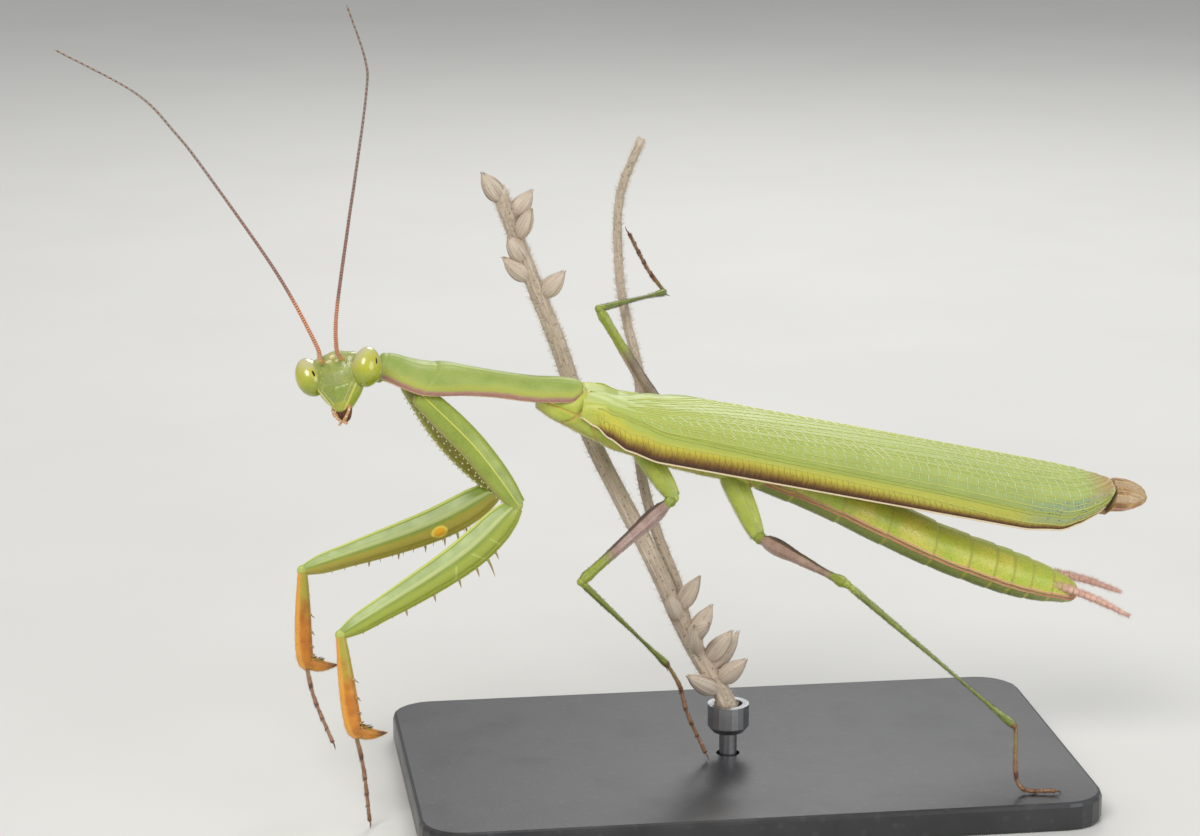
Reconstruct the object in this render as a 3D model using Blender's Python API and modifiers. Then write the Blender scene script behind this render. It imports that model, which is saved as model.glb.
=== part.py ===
"""A life-size praying mantis that grips two dry plant stems, on a small display stand.

Metres, +Z up.  The mantis looks towards -X, its tail is at +X and its left side is at -Y.
The origin is the middle of the underside of the stand's base.
"""

import math

import bmesh
import bpy
from mathutils import Euler, Matrix, Vector

MM = 0.001
GAP = 0.25                       # clearance between neighbouring pieces, in millimetres

# ---------------------------------------------------------------- driving sizes, millimetres
BASE_LENGTH, BASE_DEPTH, BASE_THICK = 56.0, 33.0, 2.4
BASE_CORNER, BASE_EDGE = 3.5, 0.35
ROD_RADIUS, CUP_RADIUS, CUP_HEIGHT = 0.75, 1.75, 2.4

TRUNK_CENTRE = (-7.4, 0.0, 29.3)  # between the two winged thorax segments
TRUNK_PITCH, TRUNK_ROLL = 17.0, 16.0

HEAD_CENTRE = (-33.0, -2.5, 36.4)
EYE_RADII = (1.12, 1.3, 1.62)
EYE_OFFSET = (2.42, 0.05, 0.42)
ANTENNA_RADIUS = (0.27, 0.25)

PRONOTUM_START, PRONOTUM_LENGTH = -23.6, 16.6
PRONOTUM_RISE = 0.142
THORAX_SPLIT, THORAX_END = -0.4, 9.6
ABDOMEN_END = 39.3
ABDOMEN_CUTS = (19.5, 29.8)

WING_START, WING_LENGTH = -6.9, 45.3
WING_TOP, WING_RISE = 4.2, 0.09
WING_THICK, WING_HALF_WIDTH, WING_CROWN, WING_TIP_ROUND = 0.5, 3.5, 0.45, 0.4

STEM_RADIUS, TWIG_RADIUS = 0.85, 0.45

# Every leg is a chain of links (length, heading, pitch).  Heading 0 points to the tail (+X) and
# 90 to the animal's right (+Y); pitch is up from the horizontal.  The root is in the trunk frame.
LEGS = {
    "fore_left": {
        "root": (-19.25, -1.4, -0.6),
        "coxa": [(5.75, -14.8, -45), (5.7, -14.8, -53)],
        "femur": [(6.4, -169, -40), (11.4, -169, -28)],
        "tibia": [(7.1, -52, -80)],
        "claw": [(1.2, 0, -52), (1.0, 0, -15), (1.1, 0, 4)],
        "tarsus": [(4.0, -28, -77), (4.5, -55, -81)],
    },
    "fore_right": {
        "root": (-20.1, 1.2, -1.2),
        "coxa": [(5.98, 14.2, -56), (5.98, 14.2, -47)],
        "femur": [(6.4, -178, -27), (11.2, -178, -17)],
        "tibia": [(7.0, -92, -85)],
        "claw": [(1.2, 0, -52), (1.0, 0, -15), (1.1, 0, 4)],
        "tarsus": [(3.6, -60, -70), (4.4, -60, -50)],
    },
    "mid_left": {
        "root": (-0.4, -1.3, -0.4),
        "coxa": [(4.2, -35, -52)],
        "femur": [(11.5, -145, -26)],
        "tibia": [(12.9, 32, -44)],
        "tarsus": [(2.3, 20, -60), (2.8, 28, -72), (4.1, 17, -65)],
    },
    "mid_right": {
        "root": (-0.4, 1.3, -0.4),
        "coxa": [(4.6, 47, -5)],
        "femur": [(12.2, 150, 56)],
        "tibia": [(10.2, 48, -2)],
        "tarsus": [(3.0, -150, 50), (4.2, -140, 55)],
    },
    "hind_left": {
        "root": (7.3, -1.4, -0.6),
        "coxa": [(5.0, -50, -58)],
        "femur": [(12.6, -66, -4)],
        "tibia": [(19.4, 4, -42)],
        "tarsus": [(5.0, 0, -85), (3.0, -12, -9)],
    },
    "hind_right": {
        "root": (7.3, 1.4, -0.6),
        "coxa": [(4.6, 58, -30)],
        "femur": [(12.6, 25, 2)],
        "tibia": [(17.8, -175, 12)],
        "tarsus": [(1.6, -169, 1), (2.9, 145, 67)],
    },
}

LINKS = ("coxa", "femur", "tibia", "tarsus")
LINK_STEPS = {"coxa": 6, "femur": 9, "tibia": 6, "tarsus": 7}
JOINT_ROOM = {"femur": 0.3, "tibia": 0.2, "tarsus": 0.1}
COXA_ROOT = -0.9
LEG_KINDS = {
    "fore": ("green", "green", "orange", "brown"),
    "mid": ("green", "mauve", "tibia_green", "brown"),
    "hind": ("green", "mauve", "tibia_green", "brown"),
}

# Spines under the fore femur as (fraction of its length, length in millimetres).
FEMUR_SPINES = [(0.33, 0.8), (0.39, 1.7), (0.46, 0.9), (0.55, 0.8), (0.66, 0.7), (0.77, 0.6)]
SPINE_RADIUS = 0.15

# Radius along each link as (fraction, radius), and how flat its section is across.
LIMB_SHAPES = {
    "fore_coxa": ([(0, 0.95), (0.2, 1.1), (0.55, 1.08), (0.85, 0.95), (1, 0.72)], 0.75),
    "fore_femur": ([(0, 0.72), (0.07, 1.0), (0.16, 1.26), (0.3, 1.4), (0.58, 1.32),
                    (0.83, 0.98), (0.95, 0.68), (1, 0.5)], 0.52),
    "fore_tibia": ([(0, 0.42), (0.1, 0.6), (0.45, 0.6), (0.68, 0.45), (0.85, 0.27), (1, 0.1)], 0.75),
    "mid_coxa": ([(0, 1.0), (0.3, 0.95), (0.8, 0.68), (1, 0.55)], 0.9),
    "mid_femur": ([(0, 0.5), (0.15, 0.58), (0.5, 0.5), (0.88, 0.36), (0.95, 0.42), (1, 0.36)], 0.9),
    "mid_tibia": ([(0, 0.28), (0.1, 0.3), (0.9, 0.27), (1, 0.32)], 1.0),
    "hind_coxa": ([(0, 1.1), (0.3, 1.05), (0.8, 0.72), (1, 0.55)], 0.9),
    "hind_femur": ([(0, 0.5), (0.12, 0.6), (0.5, 0.5), (0.9, 0.36), (0.96, 0.44), (1, 0.36)], 0.9),
    "hind_tibia": ([(0, 0.28), (0.1, 0.3), (0.9, 0.27), (1, 0.34)], 1.0),
    "tarsus": ([(0, 0.26), (0.5, 0.25), (1, 0.25)], 1.0),
}

COLOURS = {
    "green": ((0.20, 0.31, 0.055), 0.42),
    "face": ((0.20, 0.30, 0.06), 0.4),
    "eye": ((0.38, 0.40, 0.03), 0.15),
    "wing": ((0.36, 0.50, 0.12), 0.35),
    "wing_tip": ((0.28, 0.16, 0.05), 0.45),
    "abdomen": ((0.48, 0.55, 0.08), 0.4),
    "mauve": ((0.24, 0.15, 0.12), 0.5),
    "tibia_green": ((0.16, 0.24, 0.04), 0.45),
    "orange": ((0.62, 0.25, 0.02), 0.45),
    "brown": ((0.36, 0.16, 0.08), 0.55),
    "cercus": ((0.48, 0.27, 0.20), 0.55),
    "feeler": ((0.26, 0.13, 0.09), 0.6),
    "stem": ((0.48, 0.38, 0.29), 0.85),
    "base": ((0.02, 0.02, 0.022), 0.35),
    "metal": ((0.45, 0.45, 0.46), 0.3),
}

parts = bpy.data.collections.new("praying_mantis")
cutters = bpy.data.collections.new("cutters")


# ---------------------------------------------------------------- helpers
def material(kind):
    """The Principled material of one kind of surface."""
    found = bpy.data.materials.get(kind)
    if found:
        return found
    colour, rough = COLOURS[kind]
    made = bpy.data.materials.new(kind)
    made.use_nodes = True
    shader = made.node_tree.nodes["Principled BSDF"]
    shader.inputs["Base Color"].default_value = (*colour, 1.0)
    shader.inputs["Roughness"].default_value = rough
    shader.inputs["Metallic"].default_value = 1.0 if kind == "metal" else 0.0
    return made


def finish_mesh(name, bm, kind, parent=None, matrix=None):
    """Turns a bmesh in millimetres into a named object."""
    bmesh.ops.recalc_face_normals(bm, faces=bm.faces)
    bmesh.ops.scale(bm, vec=(MM, MM, MM), verts=bm.verts)
    mesh = bpy.data.meshes.new(name)
    bm.to_mesh(mesh)
    bm.free()
    mesh.shade_smooth()
    mesh.set_sharp_from_angle(angle=math.radians(50))
    mesh.materials.append(material(kind))
    made = bpy.data.objects.new(name, mesh)
    parts.objects.link(made)
    if parent:
        made.parent = parent
    if matrix:
        made.matrix_world = matrix
    return made


def between(table, t):
    """Smooth value of a table of (t, value) rows."""
    if t <= table[0][0]:
        return table[0][1]
    for (t0, v0), (t1, v1) in zip(table, table[1:]):
        if t <= t1:
            s = (t - t0) / (t1 - t0)
            s = 0.35 * s + 0.65 * s * s * (3 - 2 * s)
            return v0 + (v1 - v0) * s
    return table[-1][1]


def direction(heading, pitch):
    h, p = math.radians(heading), math.radians(pitch)
    return Vector((math.cos(h) * math.cos(p), math.sin(h) * math.cos(p), math.sin(p)))


def chain(start, links):
    """Joint positions of a chain of (length, heading, pitch) links."""
    points = [Vector(start)]
    for length, heading, pitch in links:
        points.append(points[-1] + direction(heading, pitch) * length)
    return points


def smooth_path(points, steps):
    """Catmull-Rom samples through the points, evenly spaced in parameter."""
    ends = [2 * points[0] - points[1], *points, 2 * points[-1] - points[-2]]
    spans = len(points) - 1
    path = []
    for i in range(steps + 1):
        u = i / steps * spans
        k = min(int(u), spans - 1)
        t = u - k
        a, b, c, d = ends[k:k + 4]
        path.append(0.5 * ((2 * b) + (c - a) * t + (2 * a - 5 * b + 4 * c - d) * t * t
                           + (3 * b - a - 3 * c + d) * t ** 3))
    return path


def tube(name, path, radii, kind, sides=2, flat=1.0, squash_axis=None):
    """A round or flattened bar along a path, made from a bevelled curve."""
    data = bpy.data.curves.new(name, "CURVE")
    data.dimensions = "3D"
    data.bevel_depth = MM
    data.bevel_resolution = sides
    data.use_fill_caps = True
    spline = data.splines.new("POLY")
    spline.points.add(len(path) - 1)
    for point, place, radius in zip(spline.points, path, radii):
        point.co = (*(place * MM), 1.0)
        point.radius = radius
    curve = bpy.data.objects.new(name + "_curve", data)
    parts.objects.link(curve)
    graph = bpy.context.evaluated_depsgraph_get()
    mesh = bpy.data.meshes.new_from_object(curve.evaluated_get(graph), depsgraph=graph)
    bpy.data.objects.remove(curve)
    bm = bmesh.new()
    bm.from_mesh(mesh)
    bpy.data.meshes.remove(mesh)
    bmesh.ops.remove_doubles(bm, verts=bm.verts, dist=1e-6)
    bmesh.ops.scale(bm, vec=(1 / MM, 1 / MM, 1 / MM), verts=bm.verts)
    if squash_axis is not None:
        flatten(bm, path[0], path[-1], squash_axis, flat)
    return finish_mesh(name, bm, kind)


def flatten(bm, start, end, axis, amount):
    """Narrows a bar across its length, along the given axis."""
    along = (end - start).normalized()
    across = (axis - along * axis.dot(along)).normalized()
    for vert in bm.verts:
        offset = (vert.co - start).dot(across)
        vert.co += across * offset * (amount - 1.0)


def loft(name, rings, kind, parent=None, matrix=None):
    """A closed skin over a row of rings that have the same number of points."""
    bm = bmesh.new()
    rows = [[bm.verts.new(p) for p in ring] for ring in rings]
    count = len(rows[0])
    for row, after in zip(rows, rows[1:]):
        for i in range(count):
            j = (i + 1) % count
            bm.faces.new((row[i], row[j], after[j], after[i]))
    bm.faces.new(rows[0])
    bm.faces.new(rows[-1])
    return finish_mesh(name, bm, kind, parent, matrix)


def oval(x, z, half_width, above, below, sides=14, power=1.0, lean=0.0):
    """One cross-section of the trunk: a rounded ring at station x."""
    ring = []
    for i in range(sides):
        a = 2 * math.pi * i / sides
        c, s = math.cos(a), math.sin(a)
        y = half_width * math.copysign(abs(c) ** power, c)
        h = above if s > 0 else below
        ring.append((x + lean * s * h, y, z + h * math.copysign(abs(s) ** power, s)))
    return ring


def cut(target, cutter):
    """Trims a piece where its neighbour is, with a gap."""
    step = target.modifiers.new("trim_" + cutter.name, "BOOLEAN")
    step.operation = "DIFFERENCE"
    step.solver = "EXACT"
    step.object = cutter


def join(target, other):
    """Makes a piece one body with another that grows from it."""
    step = target.modifiers.new("join_" + other.name, "BOOLEAN")
    step.operation = "UNION"
    step.solver = "EXACT"
    step.object = other


def as_cutter(made):
    made.name = made.name if made.name.startswith("cut_") else "cut_" + made.name
    parts.objects.unlink(made)
    cutters.objects.link(made)
    made.hide_render = True
    made.display_type = "WIRE"
    return made


# ---------------------------------------------------------------- trunk frame
def trunk_matrix():
    turn = Euler((0, math.radians(TRUNK_PITCH), 0)).to_matrix()
    roll = Euler((math.radians(TRUNK_ROLL), 0, 0)).to_matrix()
    spot = Matrix.Translation(Vector(TRUNK_CENTRE))
    return spot @ (turn @ roll).to_4x4()


TRUNK = trunk_matrix()


def trunk_point(x, y, z):
    return TRUNK @ Vector((x, y, z))


def trunk_world():
    placed = TRUNK.copy()
    placed.translation = placed.translation * MM
    return placed


# ---------------------------------------------------------------- head
def head_matrix():
    """Local axes: X to the animal's right, Y forwards out of the face, Z to the vertex."""
    forward = direction(-116.5, 13.3)
    left = direction(-23.3, 13.5)
    left = (left - forward * left.dot(forward)).normalized()
    right = -left
    up = right.cross(forward)
    turn = Matrix((right, forward, up)).transposed().to_4x4()
    return turn


def place_head():
    placed = head_matrix()
    placed.translation = Vector(HEAD_CENTRE) * MM
    return placed


def head_point(x, y, z):
    return Vector(HEAD_CENTRE) + head_matrix() @ Vector((x, y, z))


HEAD_ROWS = [  # height, half width, depth in front, depth behind
    (2.05, 0.8, 0.4, 0.35), (1.8, 1.7, 0.75, 0.65), (1.1, 2.3, 1.05, 1.0),
    (0.1, 2.35, 1.2, 1.15), (-0.7, 2.05, 1.25, 1.0), (-1.4, 1.7, 1.2, 0.85),
    (-2.1, 1.15, 1.1, 0.6), (-2.8, 0.45, 0.9, 0.35),
]


def head_shell(name, grow=0.0):
    rings = []
    for z, half, front, back in HEAD_ROWS:
        ring = []
        for i in range(16):
            a = 2 * math.pi * i / 16
            c, s = math.cos(a), math.sin(a)
            depth = (front if s > 0 else back) + grow
            ring.append(((half + grow) * math.copysign(abs(c) ** 0.85, c), depth * s, z))
        rings.append(ring)
    return loft(name, rings, "face", matrix=place_head())


def head():
    made = head_shell("head")
    for side in (-1, 1):
        cut(made, as_cutter(eye("cut_eye_%d" % side, side, GAP)))


def eye(name, side, grow=0.0):
    bm = bmesh.new()
    bmesh.ops.create_uvsphere(bm, u_segments=14, v_segments=9, radius=1.0)
    size = [r + grow for r in EYE_RADII]
    bmesh.ops.scale(bm, vec=size, verts=bm.verts)
    lean = Matrix.Rotation(math.radians(side * 14), 3, "Y")
    bmesh.ops.rotate(bm, cent=(0, 0, 0), matrix=lean, verts=bm.verts)
    x, y, z = EYE_OFFSET
    bmesh.ops.translate(bm, vec=(side * x, y, z), verts=bm.verts)
    return finish_mesh(name, bm, "eye", matrix=place_head())


MOUTH_ROWS = [  # height, half width, depth in front, depth behind
    (-2.82, 0.75, 0.7, 0.4), (-3.2, 0.6, 0.65, 0.35), (-3.75, 0.35, 0.5, 0.2),
]
MOUTH_FORWARD, MOUTH_SIDES = 0.15, 10


def mouthparts():
    rings = []
    for z, half, front, back in MOUTH_ROWS:
        ring = []
        for i in range(MOUTH_SIDES):
            a = 2 * math.pi * i / MOUTH_SIDES
            s = math.sin(a)
            depth = front if s > 0 else back
            ring.append((half * math.cos(a), MOUTH_FORWARD + depth * s, z))
        rings.append(ring)
    return loft("mouthparts", rings, "brown", matrix=place_head())


ANTENNA_STEPS = 27
ANTENNA_PARTS = (("base", 0, 7), ("mid", 7, 17), ("tip", 17, ANTENNA_STEPS))


def antenna(name, foot, links):
    """A feeler in three lengths, so that it can be read as base, middle and tip."""
    path = smooth_path(chain(foot, links), ANTENNA_STEPS)
    inner, outer = ANTENNA_RADIUS
    for part, first, last in ANTENNA_PARTS:
        run = path[first:last + 1]
        if first:
            run[0] = run[0] + (run[1] - run[0]).normalized() * GAP
        radii = [inner + (outer - inner) * (first + i) / ANTENNA_STEPS for i in range(len(run))]
        tube("%s_%s" % (name, part), run, radii, "feeler", sides=1)


def antennae():
    antenna("antenna_right", head_point(0.85, 1.42, 1.5),
            [(1.6, 180, 75), (6.4, 180, 63), (9.6, 180, 57), (4.1, 180, 54),
             (4.3, 180, 47), (7.0, 180, 30)])
    antenna("antenna_left", head_point(-0.85, 1.42, 1.5),
            [(1.2, -112, 50), (3.5, -90, 68), (7.8, -66, 73), (5.0, -74, 66),
             (6.6, -74, 68), (3.0, -95, 64), (5.0, -128, 62)])


def neck():
    front = head_point(0, -1.0, 0.1)
    back = trunk_point(PRONOTUM_START - GAP, 0, 0.5)
    path = [front.lerp(back, i / 5) for i in range(6)]
    made = tube("neck", path, [0.62, 0.78, 0.82, 0.82, 0.82, 0.8], "green", sides=3)
    cut(made, as_cutter(head_shell("cut_head", GAP)))
    cut(made, as_cutter(prothorax("cut_prothorax_front", GAP)))


# ---------------------------------------------------------------- thorax and abdomen
def pronotum_axis(x):
    return 0.5 + PRONOTUM_RISE * (x - PRONOTUM_START)


PRONOTUM_ROWS = [  # distance from the front, half width, height above and below, margin's drop
    (0.0, 1.3, 1.4, 0.6, 0.0), (1.0, 1.6, 1.6, 0.7, 0.15), (2.4, 2.0, 1.55, 0.7, 0.4),
    (3.8, 2.25, 1.6, 0.6, 0.6), (5.2, 2.05, 1.9, 0.6, 0.62), (7.2, 1.7, 1.7, 0.6, 0.45),
    (9.6, 1.58, 1.45, 0.6, 0.3), (12.6, 1.58, 1.4, 0.6, 0.25), (15.0, 1.5, 1.4, 0.8, 0.0),
    (16.1, 1.25, 1.2, 0.6, -0.15), (16.6, 0.8, 0.8, 0.35, -0.35),
]


def prothorax(name="prothorax", grow=0.0):
    rings = []
    for along, half, above, below, drop in PRONOTUM_ROWS:
        x = PRONOTUM_START + along
        if grow and along == 0.0:
            x -= grow
        if grow and along == PRONOTUM_LENGTH:
            x += grow
        level = pronotum_axis(x) - 0.25 - drop
        rings.append(oval(x, level, half + grow, above + grow, below + grow, 14))
    return loft(name, rings, "green", matrix=trunk_world())


TRUNK_SIDES = 14
MESOTHORAX_ROWS = [  # station, height, half width, height above and below
    (-10.2, 1.5, 0.9, 1.0, 0.8), (-8.6, 1.35, 1.6, 1.75, 1.15), (-6.6, 1.1, 2.1, 1.75, 1.35),
    (-4.4, 0.85, 2.45, 1.55, 1.5), (-2.4, 0.7, 2.6, 1.65, 1.6),
    (THORAX_SPLIT - GAP, 0.62, 2.6, 1.65, 1.65),
]
METATHORAX_ROWS = [
    (THORAX_SPLIT, 0.6, 2.6, 1.65, 1.65), (2.6, 0.5, 2.55, 1.5, 1.6), (5.6, 0.42, 2.3, 1.4, 1.55),
    (8.0, 0.35, 2.0, 1.35, 1.5), (THORAX_END, 0.28, 1.85, 1.3, 1.45),
]


def thorax_rings(rows):
    return [oval(x, z, half, above, below, TRUNK_SIDES) for x, z, half, above, below in rows]


def mesothorax():
    rings = thorax_rings(MESOTHORAX_ROWS)
    made = loft("mesothorax", rings, "green", matrix=trunk_world())
    cut(made, as_cutter(prothorax("cut_prothorax_rear", GAP)))
    return made


def metathorax():
    return loft("metathorax", thorax_rings(METATHORAX_ROWS), "green", matrix=trunk_world())


ABDOMEN_Z = [(9.6, 0.25), (15.3, -0.34), (21.7, -1.49), (26.8, -2.45), (33.3, -3.07), (39.3, -3.33)]
ABDOMEN_R = [(9.6, 1.5), (15.3, 1.68), (21.7, 1.88), (27.0, 1.85), (33.3, 1.84), (37.0, 1.45),
             (39.3, 0.7)]


def straight(table, t):
    """Value of a table of (t, value) rows, rounded off by averaging neighbours."""
    def raw(u):
        if u <= table[0][0]:
            return table[0][1]
        for (t0, v0), (t1, v1) in zip(table, table[1:]):
            if u <= t1:
                return v0 + (v1 - v0) * (u - t0) / (t1 - t0)
        return table[-1][1]
    return (raw(t - 1.6) + 2 * raw(t) + raw(t + 1.6)) / 4


def abdomen_ring(x):
    radius = straight(ABDOMEN_R, x)
    return oval(x, straight(ABDOMEN_Z, x), radius * 1.15, radius, radius, 14)


def abdomen():
    limits = (THORAX_END + GAP, ABDOMEN_CUTS[0], ABDOMEN_CUTS[1], ABDOMEN_END)
    for name, first, last in zip(("abdomen_front", "abdomen_middle", "abdomen_end"),
                                 limits, limits[1:]):
        if last != ABDOMEN_END:
            last -= GAP
        steps = 5
        rings = [abdomen_ring(first + (last - first) * i / steps) for i in range(steps + 1)]
        made = loft(name, rings, "abdomen", matrix=trunk_world())
    return made


def cerci(abdomen_end):
    for name, side in (("cercus_left", -1), ("cercus_right", 1)):
        start = trunk_point(36.6, side * 0.95, -2.55)
        end = trunk_point(44.0, side * 1.9, -3.15)
        path = [start.lerp(end, i / 8) for i in range(9)]
        radii = [0.38, 0.4, 0.4, 0.4, 0.38, 0.36, 0.33, 0.29, 0.25]
        tube(name, path, radii, "cercus", sides=2)
        fat = tube("cut_" + name, path, [r + GAP for r in radii], "cercus", sides=2)
        cut(abdomen_end, as_cutter(fat))


# ---------------------------------------------------------------- wings
WING_WIDTHS = [(0, 2.3), (0.05, 2.95), (0.1, 3.3), (0.16, 3.5), (0.84, 3.5), (0.92, 3.15),
               (0.97, 2.4), (1, 1.6)]
WING_DROPS = [(0, 1.2), (0.03, 1.9), (0.06, 2.7), (0.1, 3.4), (0.16, 3.85), (0.85, 3.9),
              (0.91, 3.65), (0.95, 3.0), (0.98, 2.2), (1, 1.6)]
WING_REACH = [(0, -0.12), (0.06, -0.12), (0.13, 1.6), (0.2, 3.0), (0.85, 3.0), (0.93, 2.7),
              (0.97, 2.1), (1, 1.5)]


def tegmen_point(u, v, side, layer):
    """A point of a folded fore wing: u runs to its tip, v from its inner edge to its front edge."""
    half = between(WING_WIDTHS, u)
    drop = between(WING_DROPS, u) - layer * 0.5
    reach = between(WING_REACH, u) - layer * min(0.9, max(u - 0.06, 0) * 12)
    x = WING_START + WING_LENGTH * u
    tip = max(u - 0.93, 0.0) / 0.07
    x -= WING_TIP_ROUND * tip * (2.0 * v - 1.0) ** 2
    top = WING_TOP + WING_RISE * x - layer * (WING_THICK + GAP) * min(1.0, max(u - 0.01, 0) / 0.06)
    knee = 0.7
    split = 0.62
    if v < split:
        y = reach + (-knee * half - reach) * v / split
        z = top - WING_CROWN * (y / WING_HALF_WIDTH) ** 2
    else:
        a = (v - split) / (1 - split) * math.pi / 2
        y = -half * (knee + (1 - knee) * math.sin(a))
        high = WING_CROWN * (knee * half / WING_HALF_WIDTH) ** 2
        z = top - high - (drop - high) * (1 - math.cos(a)) ** 0.9
    return Vector((x, side * -y if side > 0 else y, z))


def tegmen(name, side, layer):
    across, along = 10, 22
    bm = bmesh.new()
    bmesh.ops.create_grid(bm, x_segments=along, y_segments=across, size=0.5)
    for vert in bm.verts:
        u = vert.co.x + 0.5
        u = u ** 1.25 if u < 0.5 else 1 - (1 - u) ** 1.35 * 0.5 ** -0.35 * (1 - 0.5 ** 1.25) / 0.5
        u = min(max(u, 0.0), 1.0)
        vert.co = tegmen_point(u, vert.co.y + 0.5, side, layer)
    for face in bm.faces:
        face.normal_update()
    if sum(face.normal.z for face in bm.faces) < 0:
        bmesh.ops.reverse_faces(bm, faces=bm.faces)
    bmesh.ops.scale(bm, vec=(MM, MM, MM), verts=bm.verts)
    mesh = bpy.data.meshes.new(name)
    bm.to_mesh(mesh)
    bm.free()
    mesh.materials.append(material("wing"))
    made = bpy.data.objects.new(name, mesh)
    parts.objects.link(made)
    made.matrix_world = trunk_world()
    shell = made.modifiers.new("thickness", "SOLIDIFY")
    shell.thickness = WING_THICK * MM
    shell.offset = -1.0
    shell.use_even_offset = True
    return made


HINDWING_ROWS = [  # station, width, upper and lower face below the wings' top line
    (3.0, 1.6, 2.05, 2.55), (7.0, 2.4, 2.05, 2.55), (33.0, 2.3, 2.05, 2.55),
    (38.45, 1.2, 2.05, 2.6), (38.7, 1.7, 0.0, 2.2), (39.6, 1.75, -0.05, 1.9),
    (40.4, 1.6, 0.05, 1.5), (41.0, 1.2, 0.2, 1.15), (41.4, 0.7, 0.4, 0.85),
]


def hindwing(name, side):
    """A folded hind wing: a long leaf under the fore wings, whose tip rises out behind them."""
    rings = []
    for x, wide, upper, lower in HINDWING_ROWS:
        top = WING_TOP + WING_RISE * x
        thick = lower - upper
        edge = (upper + lower) / 2 + 0.1
        inner, outer = 0.13, 0.13 + wide
        middle = (inner + outer) / 2
        ring = [(inner, upper), (middle, upper + 0.06), (outer - 0.1, edge - 0.25 * thick),
                (outer, edge), (outer - 0.1, edge + 0.25 * thick), (middle, lower), (inner, lower)]
        rings.append([(x, side * y, top - depth) for y, depth in ring])
    return loft(name, rings, "wing_tip", matrix=trunk_world())


# ---------------------------------------------------------------- legs
def limb(name, points, shape, kind, room, steps, sides, grow=0.0):
    """One link of a leg, which starts a little way past its joint."""
    table, flat = LIMB_SHAPES[shape]
    path = smooth_path(points, steps)
    path[0] = path[0] + (path[1] - path[0]).normalized() * (room - grow)
    path[-1] = path[-1] + (path[-1] - path[-2]).normalized() * grow
    radii = [between(table, i / steps) + grow for i in range(steps + 1)]
    return tube(name, path, radii, kind, sides, flat, Vector((0, 1, 0)))


def leg(pair, side, kinds):
    """The four links of one leg; each is trimmed to leave a gap to the link before it."""
    data = LEGS["%s_%s" % (pair, side)]
    start = trunk_point(*data["root"])
    made = {}
    before = None
    for link, kind in zip(LINKS, kinds):
        joints = chain(start, data[link])
        points = list(joints)
        if link == "tibia" and "claw" in data:
            points += chain(joints[-1], data["claw"])[1:]
        shape = "tarsus" if link == "tarsus" else "%s_%s" % (pair, link)
        room = COXA_ROOT if link == "coxa" else JOINT_ROOM[link]
        steps = LINK_STEPS[link] * (2 if "claw" in data and link == "tibia" else 1)
        size = (points, shape, kind, room, steps, 1 if link == "tarsus" else 2)
        made[link] = limb("%s_%s_%s" % (pair, link, side), *size)
        if before:
            cut(made[link], as_cutter(limb("cut_%s_%s_%s" % (pair, link, side), *before, GAP)))
        before = size
        start = joints[-1]
    return made


def legs(body_cutters):
    for pair, kinds in LEG_KINDS.items():
        for side in ("left", "right"):
            made = leg(pair, side, kinds)
            cut(made["coxa"], body_cutters[pair])
            if pair == "fore":
                spines(made["femur"], side)


def spines(femur, side):
    """Joins the large spines to the underside of a fore femur."""
    data = LEGS["fore_%s" % side]
    start = trunk_point(*data["root"])
    knee = chain(chain(start, data["coxa"])[-1], data["femur"])
    path = smooth_path(knee, 40)
    table, _ = LIMB_SHAPES["fore_femur"]
    for count, (t, length) in enumerate(FEMUR_SPINES):
        place = path[round(t * 40)]
        along = (path[-1] - path[0]).normalized()
        down = Vector((0, 0, -1)) - along * Vector((0, 0, -1)).dot(along)
        down = (down.normalized() + along * 0.18).normalized()
        root = place + down * (between(table, t) - 0.35)
        bm = bmesh.new()
        bmesh.ops.create_cone(bm, cap_ends=True, segments=5, radius1=SPINE_RADIUS + 0.03,
                              radius2=0.03, depth=length + 0.35)
        turn = Vector((0, 0, 1)).rotation_difference(down).to_matrix()
        bmesh.ops.rotate(bm, cent=(0, 0, 0), matrix=turn, verts=bm.verts)
        bmesh.ops.translate(bm, vec=root + down * (length + 0.35) / 2, verts=bm.verts)
        spine = as_cutter(finish_mesh("cut_spine_%s_%d" % (side, count), bm, "green"))
        join(femur, spine)


def thorax_cutters():
    """Slightly fattened copies of the trunk, which trim the roots of the legs."""
    fore = as_cutter(prothorax("cut_prothorax", GAP))
    rows = [(-10.4, 1.4, 1.15, 1.05, 1.05), (-6.6, 1.1, 2.35, 1.6, 1.6), (-2.4, 0.7, 2.85, 1.9, 1.85),
            (2.6, 0.5, 2.8, 1.75, 1.85), (5.6, 0.42, 2.55, 1.65, 1.8), (9.9, 0.27, 2.1, 1.55, 1.7),
            (14.0, -0.2, 2.2, 1.9, 1.95)]
    rings = [oval(x, z, half, above, below, 14) for x, z, half, above, below in rows]
    rear = as_cutter(loft("cut_thorax", rings, "green", matrix=trunk_world()))
    return {"fore": fore, "mid": rear, "hind": rear}


# ---------------------------------------------------------------- perch and stand
CUP_BOTTOM = 4.4
STEM_FOOT = (-0.8, -0.65, 5.0)
STEM_LINKS = [(2.1, 175, 82), (6.0, 164, 60), (7.9, 150, 63), (10.8, 152, 61), (8.0, 155, 70),
              (5.9, 169, 69), (8.5, 172, 70)]
TWIG_FOOT = (-4.0, 1.0, 12.9)
TWIG_LINKS = [(3.9, 128, 71), (5.2, 140, 65), (5.5, 119, 68), (7.3, 83, 63), (5.1, 102, 55),
              (4.5, 101, 63), (6.3, 81, 76), (5.4, 24, 66)]


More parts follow.
